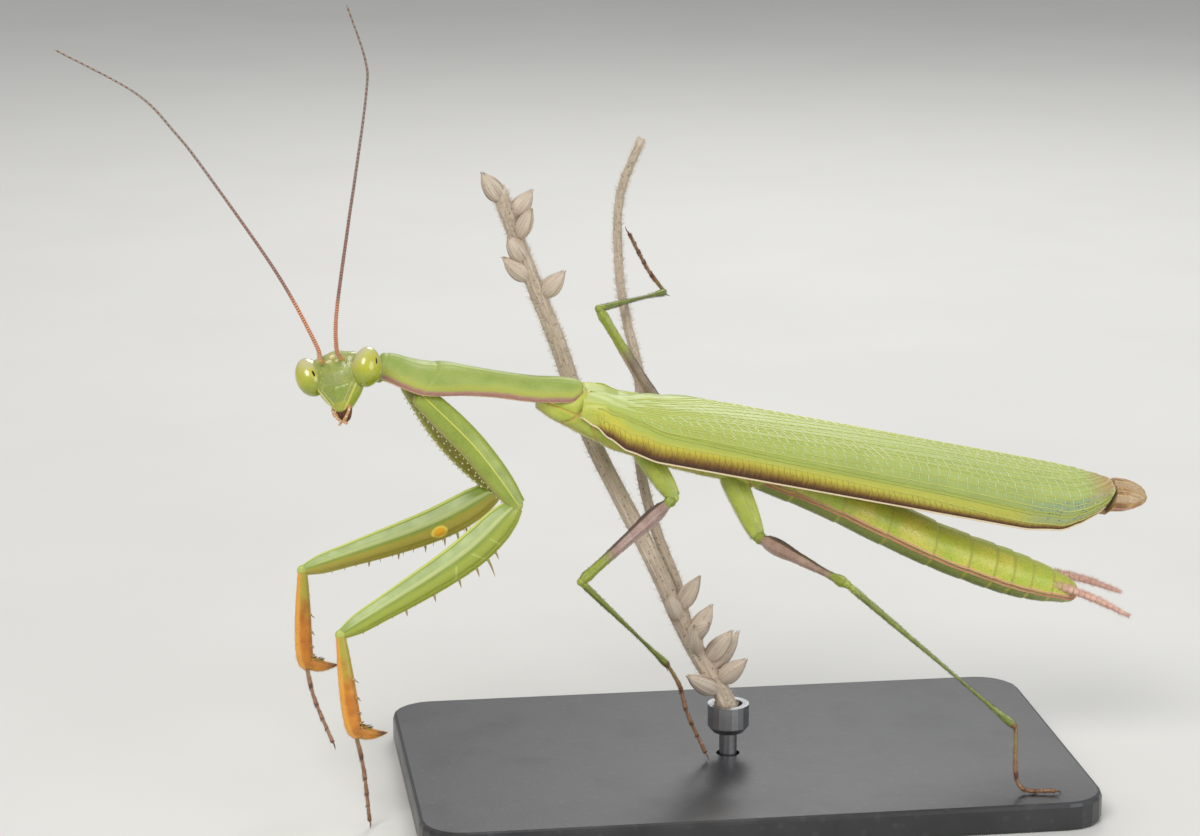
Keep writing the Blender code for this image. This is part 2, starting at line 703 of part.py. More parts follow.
SEEDS = [  # height on the stem, heading, pitch, length
    (7.7, 212, 30, 4.2), (9.4, 20, 48, 4.0), (11.0, 250, 55, 3.6), (12.6, 292, 30, 3.6),
    (14.5, 330, 58, 3.6), (42.0, 190, 40, 3.2), (45.5, 300, 55, 3.2), (48.6, 205, 52, 3.2),
]
SEED_RADII = (0.62, 0.85)


def seeds(stem, path):
    """Dry husks that grow from the stem; a foot rests against the lowest one."""
    for count, (height, heading, pitch, length) in enumerate(SEEDS):
        root = min(path, key=lambda place: abs(place.z - height))
        axis = direction(heading, pitch)
        bm = bmesh.new()
        bmesh.ops.create_uvsphere(bm, u_segments=6, v_segments=4, radius=1.0)
        bmesh.ops.scale(bm, vec=(*SEED_RADII, length / 2), verts=bm.verts)
        turn = Vector((0, 0, 1)).rotation_difference(axis).to_matrix()
        bmesh.ops.rotate(bm, cent=(0, 0, 0), matrix=turn, verts=bm.verts)
        bmesh.ops.translate(bm, vec=root + axis * (length / 2 + 0.3), verts=bm.verts)
        seed = as_cutter(finish_mesh("cut_seed_%d" % count, bm, "stem"))
        join(stem, seed)


def perch():
    path = smooth_path(chain(STEM_FOOT, STEM_LINKS), 20)
    radii = [STEM_RADIUS * (1.0 - 0.2 * i / 20) for i in range(21)]
    stem = tube("perch_stem", path, radii, "stem", sides=3)
    seeds(stem, smooth_path(chain(STEM_FOOT, STEM_LINKS), 80))
    fat = as_cutter(tube("cut_perch_stem", path, [r + GAP for r in radii], "stem", sides=3))
    path = smooth_path(chain(TWIG_FOOT, TWIG_LINKS), 20)
    radii = [TWIG_RADIUS * (1.1 - 0.3 * i / 20) for i in range(21)]
    twig = tube("perch_twig", path, radii, "stem", sides=2)
    cut(twig, fat)


def stand():
    bpy.ops.mesh.primitive_cube_add(size=1.0, location=(0, 0, BASE_THICK * MM / 2))
    base = bpy.context.active_object
    for home in list(base.users_collection):
        home.objects.unlink(base)
    parts.objects.link(base)
    base.name = "stand_base"
    base.scale = (BASE_LENGTH * MM, BASE_DEPTH * MM, BASE_THICK * MM)
    bpy.ops.object.transform_apply(location=False, rotation=False, scale=True)
    weights = base.data.attributes.new("bevel_weight_edge", "FLOAT", "EDGE")
    for edge in base.data.edges:
        a, b = (base.data.vertices[i].co for i in edge.vertices)
        weights.data[edge.index].value = 1.0 if abs(a.z - b.z) > 1e-6 else 0.0
    corner = base.modifiers.new("corners", "BEVEL")
    corner.width = BASE_CORNER * MM
    corner.segments = 5
    corner.limit_method = "WEIGHT"
    rim = base.modifiers.new("rim", "BEVEL")
    rim.width = BASE_EDGE * MM
    rim.segments = 2
    rim.limit_method = "ANGLE"
    rim.angle_limit = math.radians(60)
    base.data.materials.append(material("base"))
    socket = turned("cut_socket", [(0, BASE_THICK + 1), (ROD_RADIUS + GAP, BASE_THICK + 1),
                                   (ROD_RADIUS + GAP, BASE_THICK - 1.2), (0, BASE_THICK - 1.2)],
                    rod_place(), "metal")
    cut(base, as_cutter(socket))
    low, bottom = BASE_THICK - 1.2 + GAP, CUP_BOTTOM
    inner = STEM_RADIUS + 0.35
    profile = [(0, bottom + 0.5), (inner, bottom + 0.5), (inner, bottom + CUP_HEIGHT),
               (CUP_RADIUS, bottom + CUP_HEIGHT), (CUP_RADIUS, bottom + 0.5),
               (CUP_RADIUS - 0.4, bottom), (ROD_RADIUS, bottom), (ROD_RADIUS, low), (0, low)]
    turned("stand_rod", profile, rod_place(), "metal")


def rod_place():
    """The rod stands upright under the stem's cut end."""
    return Vector((STEM_FOOT[0], STEM_FOOT[1], 0))


def turned(name, profile, place, kind):
    """A turned piece: its profile (radius, height) runs from the top to the bottom."""
    mesh = bpy.data.meshes.new(name)
    mesh.from_pydata([(r * MM, 0, z * MM) for r, z in profile],
                     [(i, i + 1) for i in range(len(profile) - 1)], [])
    made = bpy.data.objects.new(name, mesh)
    parts.objects.link(made)
    made.location = place * MM
    spin = made.modifiers.new("turn", "SCREW")
    spin.steps = 20
    spin.render_steps = 20
    spin.use_merge_vertices = True
    spin.merge_threshold = 0.000001
    spin.use_smooth_shade = False
    mesh.materials.append(material(kind))
    return made


def main():
    for old in list(bpy.data.objects):
        bpy.data.objects.remove(old)
    bpy.context.scene.collection.children.link(parts)
    bpy.context.scene.collection.children.link(cutters)
    head()
    eye("eye_left", -1)
    eye("eye_right", 1)
    mouthparts()
    antennae()
    neck()
    prothorax()
    mesothorax()
    metathorax()
    last = abdomen()
    cerci(last)
    tegmen("tegmen_left", -1, 0)
    tegmen("tegmen_right", 1, 1)
    hindwing("hindwing_left", -1)
    hindwing("hindwing_right", 1)
    legs(thorax_cutters())
    perch()
    stand()


main()
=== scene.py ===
import math
from types import SimpleNamespace

import bpy
import numpy as np
from mathutils import Euler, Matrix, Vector


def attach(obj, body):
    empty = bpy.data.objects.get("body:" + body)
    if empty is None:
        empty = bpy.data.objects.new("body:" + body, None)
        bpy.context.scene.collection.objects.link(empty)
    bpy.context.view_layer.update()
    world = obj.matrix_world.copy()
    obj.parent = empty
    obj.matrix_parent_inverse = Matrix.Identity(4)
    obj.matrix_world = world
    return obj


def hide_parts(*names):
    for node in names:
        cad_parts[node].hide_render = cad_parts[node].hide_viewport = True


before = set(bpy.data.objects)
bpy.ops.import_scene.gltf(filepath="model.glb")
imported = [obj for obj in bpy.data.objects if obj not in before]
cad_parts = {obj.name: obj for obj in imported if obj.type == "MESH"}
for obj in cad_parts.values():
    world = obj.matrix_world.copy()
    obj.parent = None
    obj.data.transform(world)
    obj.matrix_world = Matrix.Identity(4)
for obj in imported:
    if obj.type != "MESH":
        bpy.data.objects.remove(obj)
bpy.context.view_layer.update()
mm = 0.001
turn = 2 * math.pi
made = []


# Curves and tables.

def unit(vectors):
    vectors = np.asarray(vectors, float)
    return vectors / np.maximum(np.linalg.norm(vectors, axis=-1, keepdims=True), 1e-9)


def direction(heading, pitch):
    h, p = math.radians(heading), math.radians(pitch)
    return np.array((math.cos(h) * math.cos(p), math.sin(h) * math.cos(p), math.sin(p)))


def chain(start, links):
    points = [np.asarray(start, float)]
    for length, heading, pitch in links:
        points.append(points[-1] + direction(heading, pitch) * length)
    return points


def smoothPath(points, steps):
    ends = np.array([2 * points[0] - points[1], *points, 2 * points[-1] - points[-2]])
    spans = len(points) - 1
    u = np.linspace(0, spans, steps + 1)
    k = np.minimum(u.astype(int), spans - 1)
    t = (u - k)[:, None]
    a, b, c, d = ends[k], ends[k + 1], ends[k + 2], ends[k + 3]
    return 0.5 * (2 * b + (c - a) * t + (2 * a - 5 * b + 4 * c - d) * t ** 2
                  + (3 * b - a - 3 * c + d) * t ** 3)


def columns(table, column):
    rows = np.array(table, float)
    return rows[:, 0], rows[:, column]


def between(table, t, column=1):  # eases from row to row
    at, value = columns(table, column)
    t = np.asarray(t, float)
    k = np.clip(np.searchsorted(at, t) - 1, 0, len(at) - 2)
    s = np.clip((t - at[k]) / (at[k + 1] - at[k]), 0, 1)
    s = 0.35 * s + 0.65 * s * s * (3 - 2 * s)
    return value[k] + (value[k + 1] - value[k]) * s


def flow(table, t, column=1):  # runs smoothly through the rows
    at, value = columns(table, column)
    slope = np.gradient(value, at)
    t = np.asarray(t, float)
    k = np.clip(np.searchsorted(at, t) - 1, 0, len(at) - 2)
    span = at[k + 1] - at[k]
    s = np.clip((t - at[k]) / span, 0, 1)
    return (value[k] * (1 + 2 * s) * (1 - s) ** 2 + value[k + 1] * s * s * (3 - 2 * s)
            + span * (slope[k] * s * (1 - s) ** 2 - slope[k + 1] * s * s * (1 - s)))


def hill(value, centre, width):
    return np.exp(-((value - centre) / width) ** 2)


def plateau(value, low, high, blur):
    return (1 / (1 + np.exp(-np.clip((value - low) / blur, -40, 40)))
            / (1 + np.exp(np.clip((value - high) / blur, -40, 40))))


def signedPower(value, power):
    return np.copysign(np.abs(value) ** power, value)


def flows(table, t):  # the smooth value of every column after the first
    return [flow(table, t, column) for column in range(1, len(table[0]))]


def ring(count):  # one row of angles round a section
    return np.linspace(0, turn, count, endpoint=False)[None]


def circle(count):
    return np.cos(ring(count)), np.sin(ring(count))


def stacked(x, y, z):
    return np.stack(np.broadcast_arrays(x, y, z), axis=-1)


def ballGrid(rows, cols):
    up = np.linspace(-math.pi / 2, math.pi / 2, rows)[:, None]
    c, s = circle(cols)
    return stacked(np.cos(up) * c, np.cos(up) * s, np.sin(up))


# Meshes.

def newShape():
    return {"points": [], "faces": [], "fields": {}, "patches": [], "count": 0}


def addPart(shape, points, faces, fields=None, patches=None):
    points = np.asarray(points, float).reshape(-1, 3)
    shape["points"].append(points)
    for block in faces:
        if len(block):
            shape["faces"].append(np.asarray(block, int) + shape["count"])
    for name, values in (fields or {}).items():
        values = np.broadcast_to(np.asarray(values, float).reshape(-1), (len(points),))
        shape["fields"].setdefault(name, []).append((shape["count"], values))
    if patches is not None:
        shape["patches"].append(patches)
    shape["count"] += len(points)


def addGrid(shape, grid, fields=None, capped=True):  # a tube, closed at its ends if capped
    rows, cols = grid.shape[:2]
    index = np.arange(rows * cols).reshape(rows, cols)
    side = np.roll(index, -1, axis=1)
    quads = np.stack([index[:-1], side[:-1], side[1:], index[1:]], axis=-1).reshape(-1, 4)
    points = grid.reshape(-1, 3)
    values = {name: np.broadcast_to(field, (rows, cols)).reshape(-1)
              for name, field in (fields or {}).items()}
    fans = []
    for row, first, second in ((0, side, index), (-1, index, side)) if capped else ():
        fans.append(np.stack([np.full(cols, len(points)), first[row], second[row]], axis=-1))
        points = np.vstack([points, grid[row].mean(axis=0)])
        values = {name: np.append(field, field.reshape(-1)[index[row]].mean())
                  for name, field in values.items()}
    addPart(shape, points, [quads, *fans], values)
    return shape


def put(name, data):
    thing = bpy.data.objects.new(name, data)
    bpy.context.scene.collection.objects.link(thing)
    return thing


def makePiece(name, shape, material, nodes=(), sharp=55):
    points = np.concatenate(shape["points"]) * mm
    corners = np.concatenate([block.reshape(-1) for block in shape["faces"]])
    sizes = np.concatenate([np.full(len(b), b.shape[1]) for b in shape["faces"]])
    mesh = bpy.data.meshes.new(name)
    mesh.vertices.add(len(points))
    mesh.vertices.foreach_set("co", points.reshape(-1).astype(np.float32))
    mesh.loops.add(len(corners))
    mesh.loops.foreach_set("vertex_index", corners.astype(np.int32))
    mesh.polygons.add(len(sizes))
    starts = np.concatenate([[0], np.cumsum(sizes)[:-1]])
    mesh.polygons.foreach_set("loop_start", starts.astype(np.int32))
    mesh.update(calc_edges=True)
    for field, runs in shape["fields"].items():
        values = np.zeros(len(points), np.float32)
        for first, run in runs:
            values[first:first + len(run)] = run
        mesh.attributes.new(field, "FLOAT", "POINT").data.foreach_set("value", values)
    if shape["patches"]:
        uv = np.concatenate(shape["patches"])[corners]
        mesh.uv_layers.new(name="OFBake").data.foreach_set("uv", uv.reshape(-1).astype(np.float32))
    mesh.shade_smooth()
    if sharp:
        mesh.set_sharp_from_angle(angle=math.radians(sharp))
    mesh.materials.append(material)
    piece = put(name, mesh)
    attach(piece, "root")
    if nodes:
        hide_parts(*nodes)
    triangles = int((sizes - 2).sum())
    made.append(triangles)
    print("made", name, triangles)


def frames(path, hint):
    along = unit(np.gradient(path, axis=0))
    sides = np.empty_like(path)
    side = np.asarray(hint, float)
    for i, ahead in enumerate(along):
        side = unit(side - ahead * side.dot(ahead))
        sides[i] = side
    return along, sides, np.cross(along, sides)


def sweep(path, across, upward, hint=(0, 1, 0)):  # across and upward: rows x columns
    _, sides, ups = frames(path, hint)
    return path[:, None] + sides[:, None] * across[..., None] + ups[:, None] * upward[..., None]


def roundBar(path, radii, count, hint=(0, 1, 0)):
    c, s = circle(count)
    radii = np.asarray(radii, float)[:, None]
    return sweep(path, radii * c, radii * s, hint)


def addBall(shape, centre, radii, fields, rows=9, cols=12):
    ball = ballGrid(rows, cols) * np.asarray(radii, float)
    addGrid(shape, ball + np.asarray(centre, float), fields, False)


def addSpines(shape, roots, ways, lengths, radii, bends=None, sides=6, rows=5, fields=None):
    roots, ways = np.asarray(roots, float), unit(ways)
    bends = np.zeros_like(ways) if bends is None else np.asarray(bends, float)
    for root, way, length, radius, bend in zip(roots, ways, lengths, radii, bends):
        t = np.linspace(0, 1, rows)[:, None]
        path = root + way * length * t + bend * length * t ** 2
        slim = radius * (1 - t[:, 0]) ** 0.8 + 0.012
        hint = (0, 1, 0) if abs(way[1]) < 0.8 else (1, 0, 0)
        look = {"tip": t[:, 0][:, None]}
        look.update(fields or {})
        addGrid(shape, roundBar(path, slim, sides, hint), look)


def onGrid(grid, i, j):
    i0, j0 = i.astype(int), j.astype(int) % grid.shape[1]
    j1 = (j0 + 1) % grid.shape[1]
    fi, fj = (i - i0)[:, None], (j - np.floor(j))[:, None]
    lower = grid[i0, j0] * (1 - fj) + grid[i0, j1] * fj
    upper = grid[i0 + 1, j0] * (1 - fj) + grid[i0 + 1, j1] * fj
    return lower * (1 - fi) + upper * fi


# Fine hairs: curved three-sided cones, each with its own small patch at its root's place.
patchSize = 0.003


def addHairs(shape, grid, count, length, radius, seed, lean=0.4, bend=0.4, wrap=True,
             weight=1.0, tile=(0, 1), spread=0.2):
    dice = np.random.default_rng(seed)
    rows, cols = grid.shape[:2]
    i = dice.uniform(0, rows - 1.001, count)
    j = dice.uniform(0, cols if wrap else cols - 1.001, count)
    chance = dice.random(count)
    i0, j0 = i.astype(int), j.astype(int) % cols
    keep = chance < np.broadcast_to(weight, (rows, cols))[i0, j0]
    i, j, i0, j0 = i[keep], j[keep], i0[keep], j0[keep]
    root = onGrid(grid, i, j)
    along = unit(grid[i0 + 1, j0] - grid[i0, j0])
    out = unit(np.cross(grid[i0, (j0 + 1) % cols] - grid[i0, j0], along))
    number = len(root)
    way = unit(out * (1 - lean) + along * lean + dice.normal(0, spread, (number, 3)))
    far = unit(way + along * bend)
    size = (length * dice.uniform(0.6, 1.15, number))[:, None]
    middle = root + way * size * 0.5
    tip = middle + far * size * 0.5
    first = unit(np.cross(way, along + 0.01))
    second = np.cross(way, first)
    root = root - way * radius
    place = np.stack([tile[0] + (tile[1] - tile[0]) * i / (rows - 1), j / cols], axis=-1)
    points, patches = [], []
    for centre, wide, reach in ((root, 1.0, 0.5), (middle, 0.65, 0.3)):
        for k in range(3):
            a = turn * k / 3
            offset = first * math.cos(a) + second * math.sin(a)
            points.append(centre + offset * radius * wide)
            patches.append(place + patchSize * reach * np.array((math.cos(a), math.sin(a))))
    points.append(tip)
    patches.append(place)
    base = np.arange(number)[:, None] * 7
    quads = [np.hstack([base + k, base + (k + 1) % 3, base + 3 + (k + 1) % 3, base + 3 + k])
             for k in range(3)]
    ends = [np.hstack([base + 3 + k, base + 3 + (k + 1) % 3, base + 6]) for k in range(3)]
    reach = np.tile([0, 0, 0, 0.5, 0.5, 0.5, 1.0], number)
    addPart(shape, np.stack(points, axis=1), [np.vstack(quads), np.vstack(ends)],
            {"tip": reach}, np.stack(patches, axis=1).reshape(-1, 2))


def hairPiece(name, material, slot, *batches):  # addHairs' numbers, then its options
    hairs = newShape()
    for grid, count, length, radius, seed, options in batches:
        addHairs(hairs, grid, count, length, radius, seed, **options)
    makePiece(name, hairs, material)


# Materials.

def paint(red, green, blue):  # a colour as seen on screen, 0 to 255
    return tuple((v / 255 / 12.92) if v < 10.3 else ((v / 255 + 0.055) / 1.055) ** 2.4
                 for v in (red, green, blue)) + (1.0,)


def feed(tree, node, inputs):
    for name, value in inputs.items():
        if isinstance(value, bpy.types.NodeSocket):
            tree.links.new(value, node.inputs[name])
        else:
            node.inputs[name].default_value = value
    return node


def addNode(tree, kind, inputs=None, **settings):
    node = tree.nodes.new(kind)
    for name, value in settings.items():
        setattr(node, name, value)
    return feed(tree, node, inputs or {})


def useGroup(tree, group, inputs):
    return addNode(tree, "ShaderNodeGroup", inputs, node_tree=group)


def mixColour(tree, factor, first, second):
    node = addNode(tree, "ShaderNodeMix", data_type="RGBA")
    return feed(tree, node, {0: factor, 6: first, 7: second}).outputs[2]


def math2(tree, operation, first, second=0.0):
    return addNode(tree, "ShaderNodeMath", {0: first, 1: second}, operation=operation).outputs[0]


def remap(tree, value, taken=(0.0, 1.0), given=(0.0, 1.0), kind="LINEAR"):
    return addNode(tree, "ShaderNodeMapRange", {
        "Value": value, "From Min": taken[0], "From Max": taken[1], "To Min": given[0],
        "To Max": given[1]}, interpolation_type=kind).outputs[0]


def field(tree, name):
    return addNode(tree, "ShaderNodeAttribute", attribute_name=name).outputs["Fac"]


def stain(tree, colour, amount, tint, strength=None):  # lays one more colour over the others
    if strength is not None:
        amount = math2(tree, "MULTIPLY", amount, strength)
    return mixColour(tree, amount, colour, paint(*tint))


def newGroup(name, inputs, outputs):
    tree = bpy.data.node_groups.new(name, "ShaderNodeTree")
    for label, start in inputs:
        socket = tree.interface.new_socket(label, in_out="INPUT", socket_type="NodeSocketFloat")
        socket.default_value = start
    for label in outputs:
        tree.interface.new_socket(label, in_out="OUTPUT", socket_type="NodeSocketFloat")
    given = tree.nodes.new("NodeGroupInput").outputs
    return tree, given, tree.nodes.new("NodeGroupOutput")


def makeCuticleGrain():  # cloudy mottling, fine dots and a leathery microrelief
    tree, given, result = newGroup(
        "cuticleGrain", [("Cloud", 900.0), ("Grain", 9000.0), ("Fleck", 5000.0)],
        ["Mottle", "Flecks", "Height"])
    place = addNode(tree, "ShaderNodeTexCoord").outputs["Object"]
    cloud = addNode(tree, "ShaderNodeTexNoise", {
        "Vector": place, "Scale": given["Cloud"], "Detail": 4.0}).outputs["Fac"]
    cells, dots = (addNode(tree, "ShaderNodeTexVoronoi", {"Vector": place, "Scale": given[size]},
                           feature="F1").outputs["Distance"] for size in ("Grain", "Fleck"))
    height = math2(tree, "SUBTRACT", cloud, math2(tree, "MULTIPLY", cells, 0.6))
    feed(tree, result, {"Mottle": remap(tree, cloud, (0.34, 0.66)), "Height": height,
                        "Flecks": remap(tree, dots, (0.16, 0.3), (1.0, 0.0))})
    return tree


def makeBandMask():  # a soft-edged line or zone round one value of a surface field
    tree, given, result = newGroup(
        "bandMask", [("Value", 0.0), ("Centre", 0.0), ("Width", 0.1), ("Blur", 0.05)], ["Mask"])
    away = math2(tree, "ABSOLUTE", math2(tree, "SUBTRACT", given["Value"], given["Centre"]))
    outer = math2(tree, "ADD", given["Width"], given["Blur"])
    feed(tree, result, {"Mask": remap(tree, away, (given["Width"], outer), (1.0, 0.0),
                                      "SMOOTHSTEP")})
    return tree


def makeFibreRun():  # streaks that run along a stem, husk or vein
    tree, given, result = newGroup(
        "fibreRun", [("Along", 0.0), ("Around", 0.0), ("Fineness", 6.0), ("Stretch", 0.4)],
        ["Streak", "Height"])
    angle = math2(tree, "MULTIPLY", given["Around"], turn)
    across = [math2(tree, "MULTIPLY", math2(tree, kind, angle), given["Fineness"])
              for kind in ("COSINE", "SINE")]
    length = math2(tree, "MULTIPLY", given["Along"], given["Stretch"])
    place = addNode(tree, "ShaderNodeCombineXYZ", {"X": across[0], "Y": across[1], "Z": length})
    noise = addNode(tree, "ShaderNodeTexNoise", {
        "Vector": place.outputs[0], "Scale": 1.0, "Detail": 5.0}).outputs["Fac"]
    feed(tree, result, {"Streak": remap(tree, noise, (0.33, 0.67)), "Height": noise})
    return tree


cuticleGrain = makeCuticleGrain()
bandMask = makeBandMask()
fibreRun = makeFibreRun()


def grainOf(tree, cloud, grain=9000.0, fleck=5000.0):
    outputs = useGroup(tree, cuticleGrain, {"Cloud": cloud, "Grain": grain, "Fleck": fleck}).outputs
    return outputs["Mottle"], outputs["Flecks"], outputs["Height"]


def fibresOf(tree, along, around, fineness, stretch):
    outputs = useGroup(tree, fibreRun, {"Along": along, "Around": around, "Fineness": fineness,
                                        "Stretch": stretch}).outputs
    return outputs["Streak"], outputs["Height"]


def band(tree, value, centre, width, blur):
    return useGroup(tree, bandMask, {"Value": value, "Centre": centre, "Width": width,
                                     "Blur": blur}).outputs["Mask"]


def newMaterial(name, look):
    material = bpy.data.materials.new(name)
    material.use_nodes = True
    tree = material.node_tree
    return material, tree, feed(tree, tree.nodes["Principled BSDF"], look)


def finishSurface(tree, shader, colour, roughness, height, depth, strength=0.6):
    bump = addNode(tree, "ShaderNodeBump",
                   {"Height": height, "Distance": depth * mm, "Strength": strength})
    feed(tree, shader, {"Base Color": colour, "Roughness": roughness,
                        "Normal": bump.outputs["Normal"]})


def cuticle(name, look):
    # marks: (field, colour, centre, width, blur), painted in order over the mottled ground
    look = {"cloud": 900.0, "grain": 9000.0, "fleck": 5000.0, "wander": 0.05, "dotStrength": 0.5,
            "roughness": (0.32, 0.48), "relief": 0.02, "finish": {}, **look}
    material, tree, shader = newMaterial(name, {
        "Coat Weight": 0.3, "Coat Roughness": 0.22, "Subsurface Weight": 0.12,
        "Subsurface Radius": (0.5, 1.0, 0.2), "Subsurface Scale": 0.0005, **look["finish"]})
    mottle, flecks, height = grainOf(tree, look["cloud"], look["grain"], look["fleck"])
    colour = mixColour(tree, mottle, paint(*look["ground"]), paint(*look["deep"]))
    wander = math2(tree, "MULTIPLY", math2(tree, "SUBTRACT", mottle, 0.5), look["wander"])
    for fieldName, tint, centre, width, blur in look["marks"]:
        value = math2(tree, "ADD", field(tree, fieldName), wander)
        colour = stain(tree, colour, band(tree, value, centre, width, blur), tint)
    if "dots" in look:
        colour = stain(tree, colour, flecks, look["dots"], look["dotStrength"])
    rough = remap(tree, mottle, given=look["roughness"])
    finishSurface(tree, shader, colour, rough, height, look["relief"])
    return material


def dryPlant(name, look):
    material, tree, shader = newMaterial(name, {"Sheen Weight": 0.15, "Sheen Roughness": 0.6})
    streak, fibres = fibresOf(tree, field(tree, "along"), field(tree, "around"),
                              look["fineness"], look["stretch"])
    mottle, flecks, height = grainOf(tree, 700.0, 7000.0, look["fleck"])
    colour = mixColour(tree, streak, paint(*look["pale"]), paint(*look["dark"]))
    colour = stain(tree, colour, mottle, look["shade"], 0.45)
    colour = stain(tree, colour, flecks, look["dots"], look["dotStrength"])
    colour = stain(tree, colour, field(tree, "edge"), look["edge"])
    rough = remap(tree, streak, given=(0.62, 0.85))
    relief = math2(tree, "ADD", fibres, math2(tree, "MULTIPLY", height, 0.4))
    finishSurface(tree, shader, colour, rough, relief, look["relief"], 0.8)
    return material


def hairMaterial(name, root, tip, roughness=0.45):
    material, tree, shader = newMaterial(name, {"Coat Weight": 0.1})
    mottle, _, height = grainOf(tree, 500.0)
    colour = mixColour(tree, field(tree, "tip"), paint(*root), paint(*tip))
    colour = stain(tree, colour, mottle, [v * 0.75 for v in root], 0.3)
    rough = remap(tree, mottle, given=(roughness, roughness + 0.15))
    finishSurface(tree, shader, colour, rough, height, 0.004)
    return material


# The trunk's and the head's own frames.

trunk = {"centre": (-7.4, 0.0, 29.3), "pitch": 17.0, "roll": 16.0}
headPlace = {"centre": (-33.0, -2.5, 36.4), "forward": (-116.5, 13.3), "left": (-23.3, 13.5)}

trunkTurn = np.array(Euler((0, math.radians(trunk["pitch"]), 0)).to_matrix()
                     @ Euler((math.radians(trunk["roll"]), 0, 0)).to_matrix())


def inTrunk(points):
    return np.asarray(points, float) @ trunkTurn.T + np.array(trunk["centre"])


def headTurn():
    forward = direction(*headPlace["forward"])
    left = direction(*headPlace["left"])
    left = unit(left - forward * left.dot(forward))
    return np.stack([-left, forward, np.cross(-left, forward)], axis=1)


headAxes = headTurn()


def inHead(points):
    return np.asarray(points, float) @ headAxes.T + np.array(headPlace["centre"])


# Head.

head = {
    "rows": [  # height, half width, depth in front, depth behind
        (-2.8, 0.45, 0.9, 0.35), (-2.1, 1.15, 1.1, 0.6), (-1.4, 1.7, 1.2, 0.85),
        (-0.7, 2.05, 1.25, 1.0), (0.1, 2.35, 1.2, 1.15), (1.1, 2.3, 1.05, 1.0),
        (1.8, 1.7, 0.75, 0.65), (2.05, 0.8, 0.4, 0.35)],
    "square": 0.85, "top": 2.18, "low": -2.94,
    "eyeRadii": (1.2, 1.36, 1.64), "eyeOffset": (2.45, 0.05, 0.44), "eyeLean": 17.0,
    "rises": {"shield": 0.06, "clypeus": 0.1, "fold": 0.07, "nose": 0.1, "ridge": 0.12,
              "labrum": 0.08, "groove": -0.05, "brow": 0.12, "seam": -0.05, "crest": 0.04},
    "ocelli": [(0.0, 1.62, 0.2), (-0.42, 1.28, 0.13), (0.42, 1.28, 0.13)],
    "warts": [(0.95, 0.9), (1.15, 0.55), (-1.2, 0.75), (1.05, 0.1), (-0.95, 0.35), (1.25, -0.2),
              (0.25, -0.2), (1.15, -0.6), (-1.1, -0.5), (0.75, -1.1), (0.62, -1.6), (-0.7, -1.3)],
}


def eyeLean(side):
    return np.array(Euler((0, math.radians(side * head["eyeLean"]), 0)).to_matrix())


def faceDepth(x, z):
    half = flow(head["rows"], z, 1)
    inside = np.clip(1 - np.abs(x / half) ** (2 / head["square"]), 0, 1)
    return flow(head["rows"], z, 2) * np.sqrt(inside)


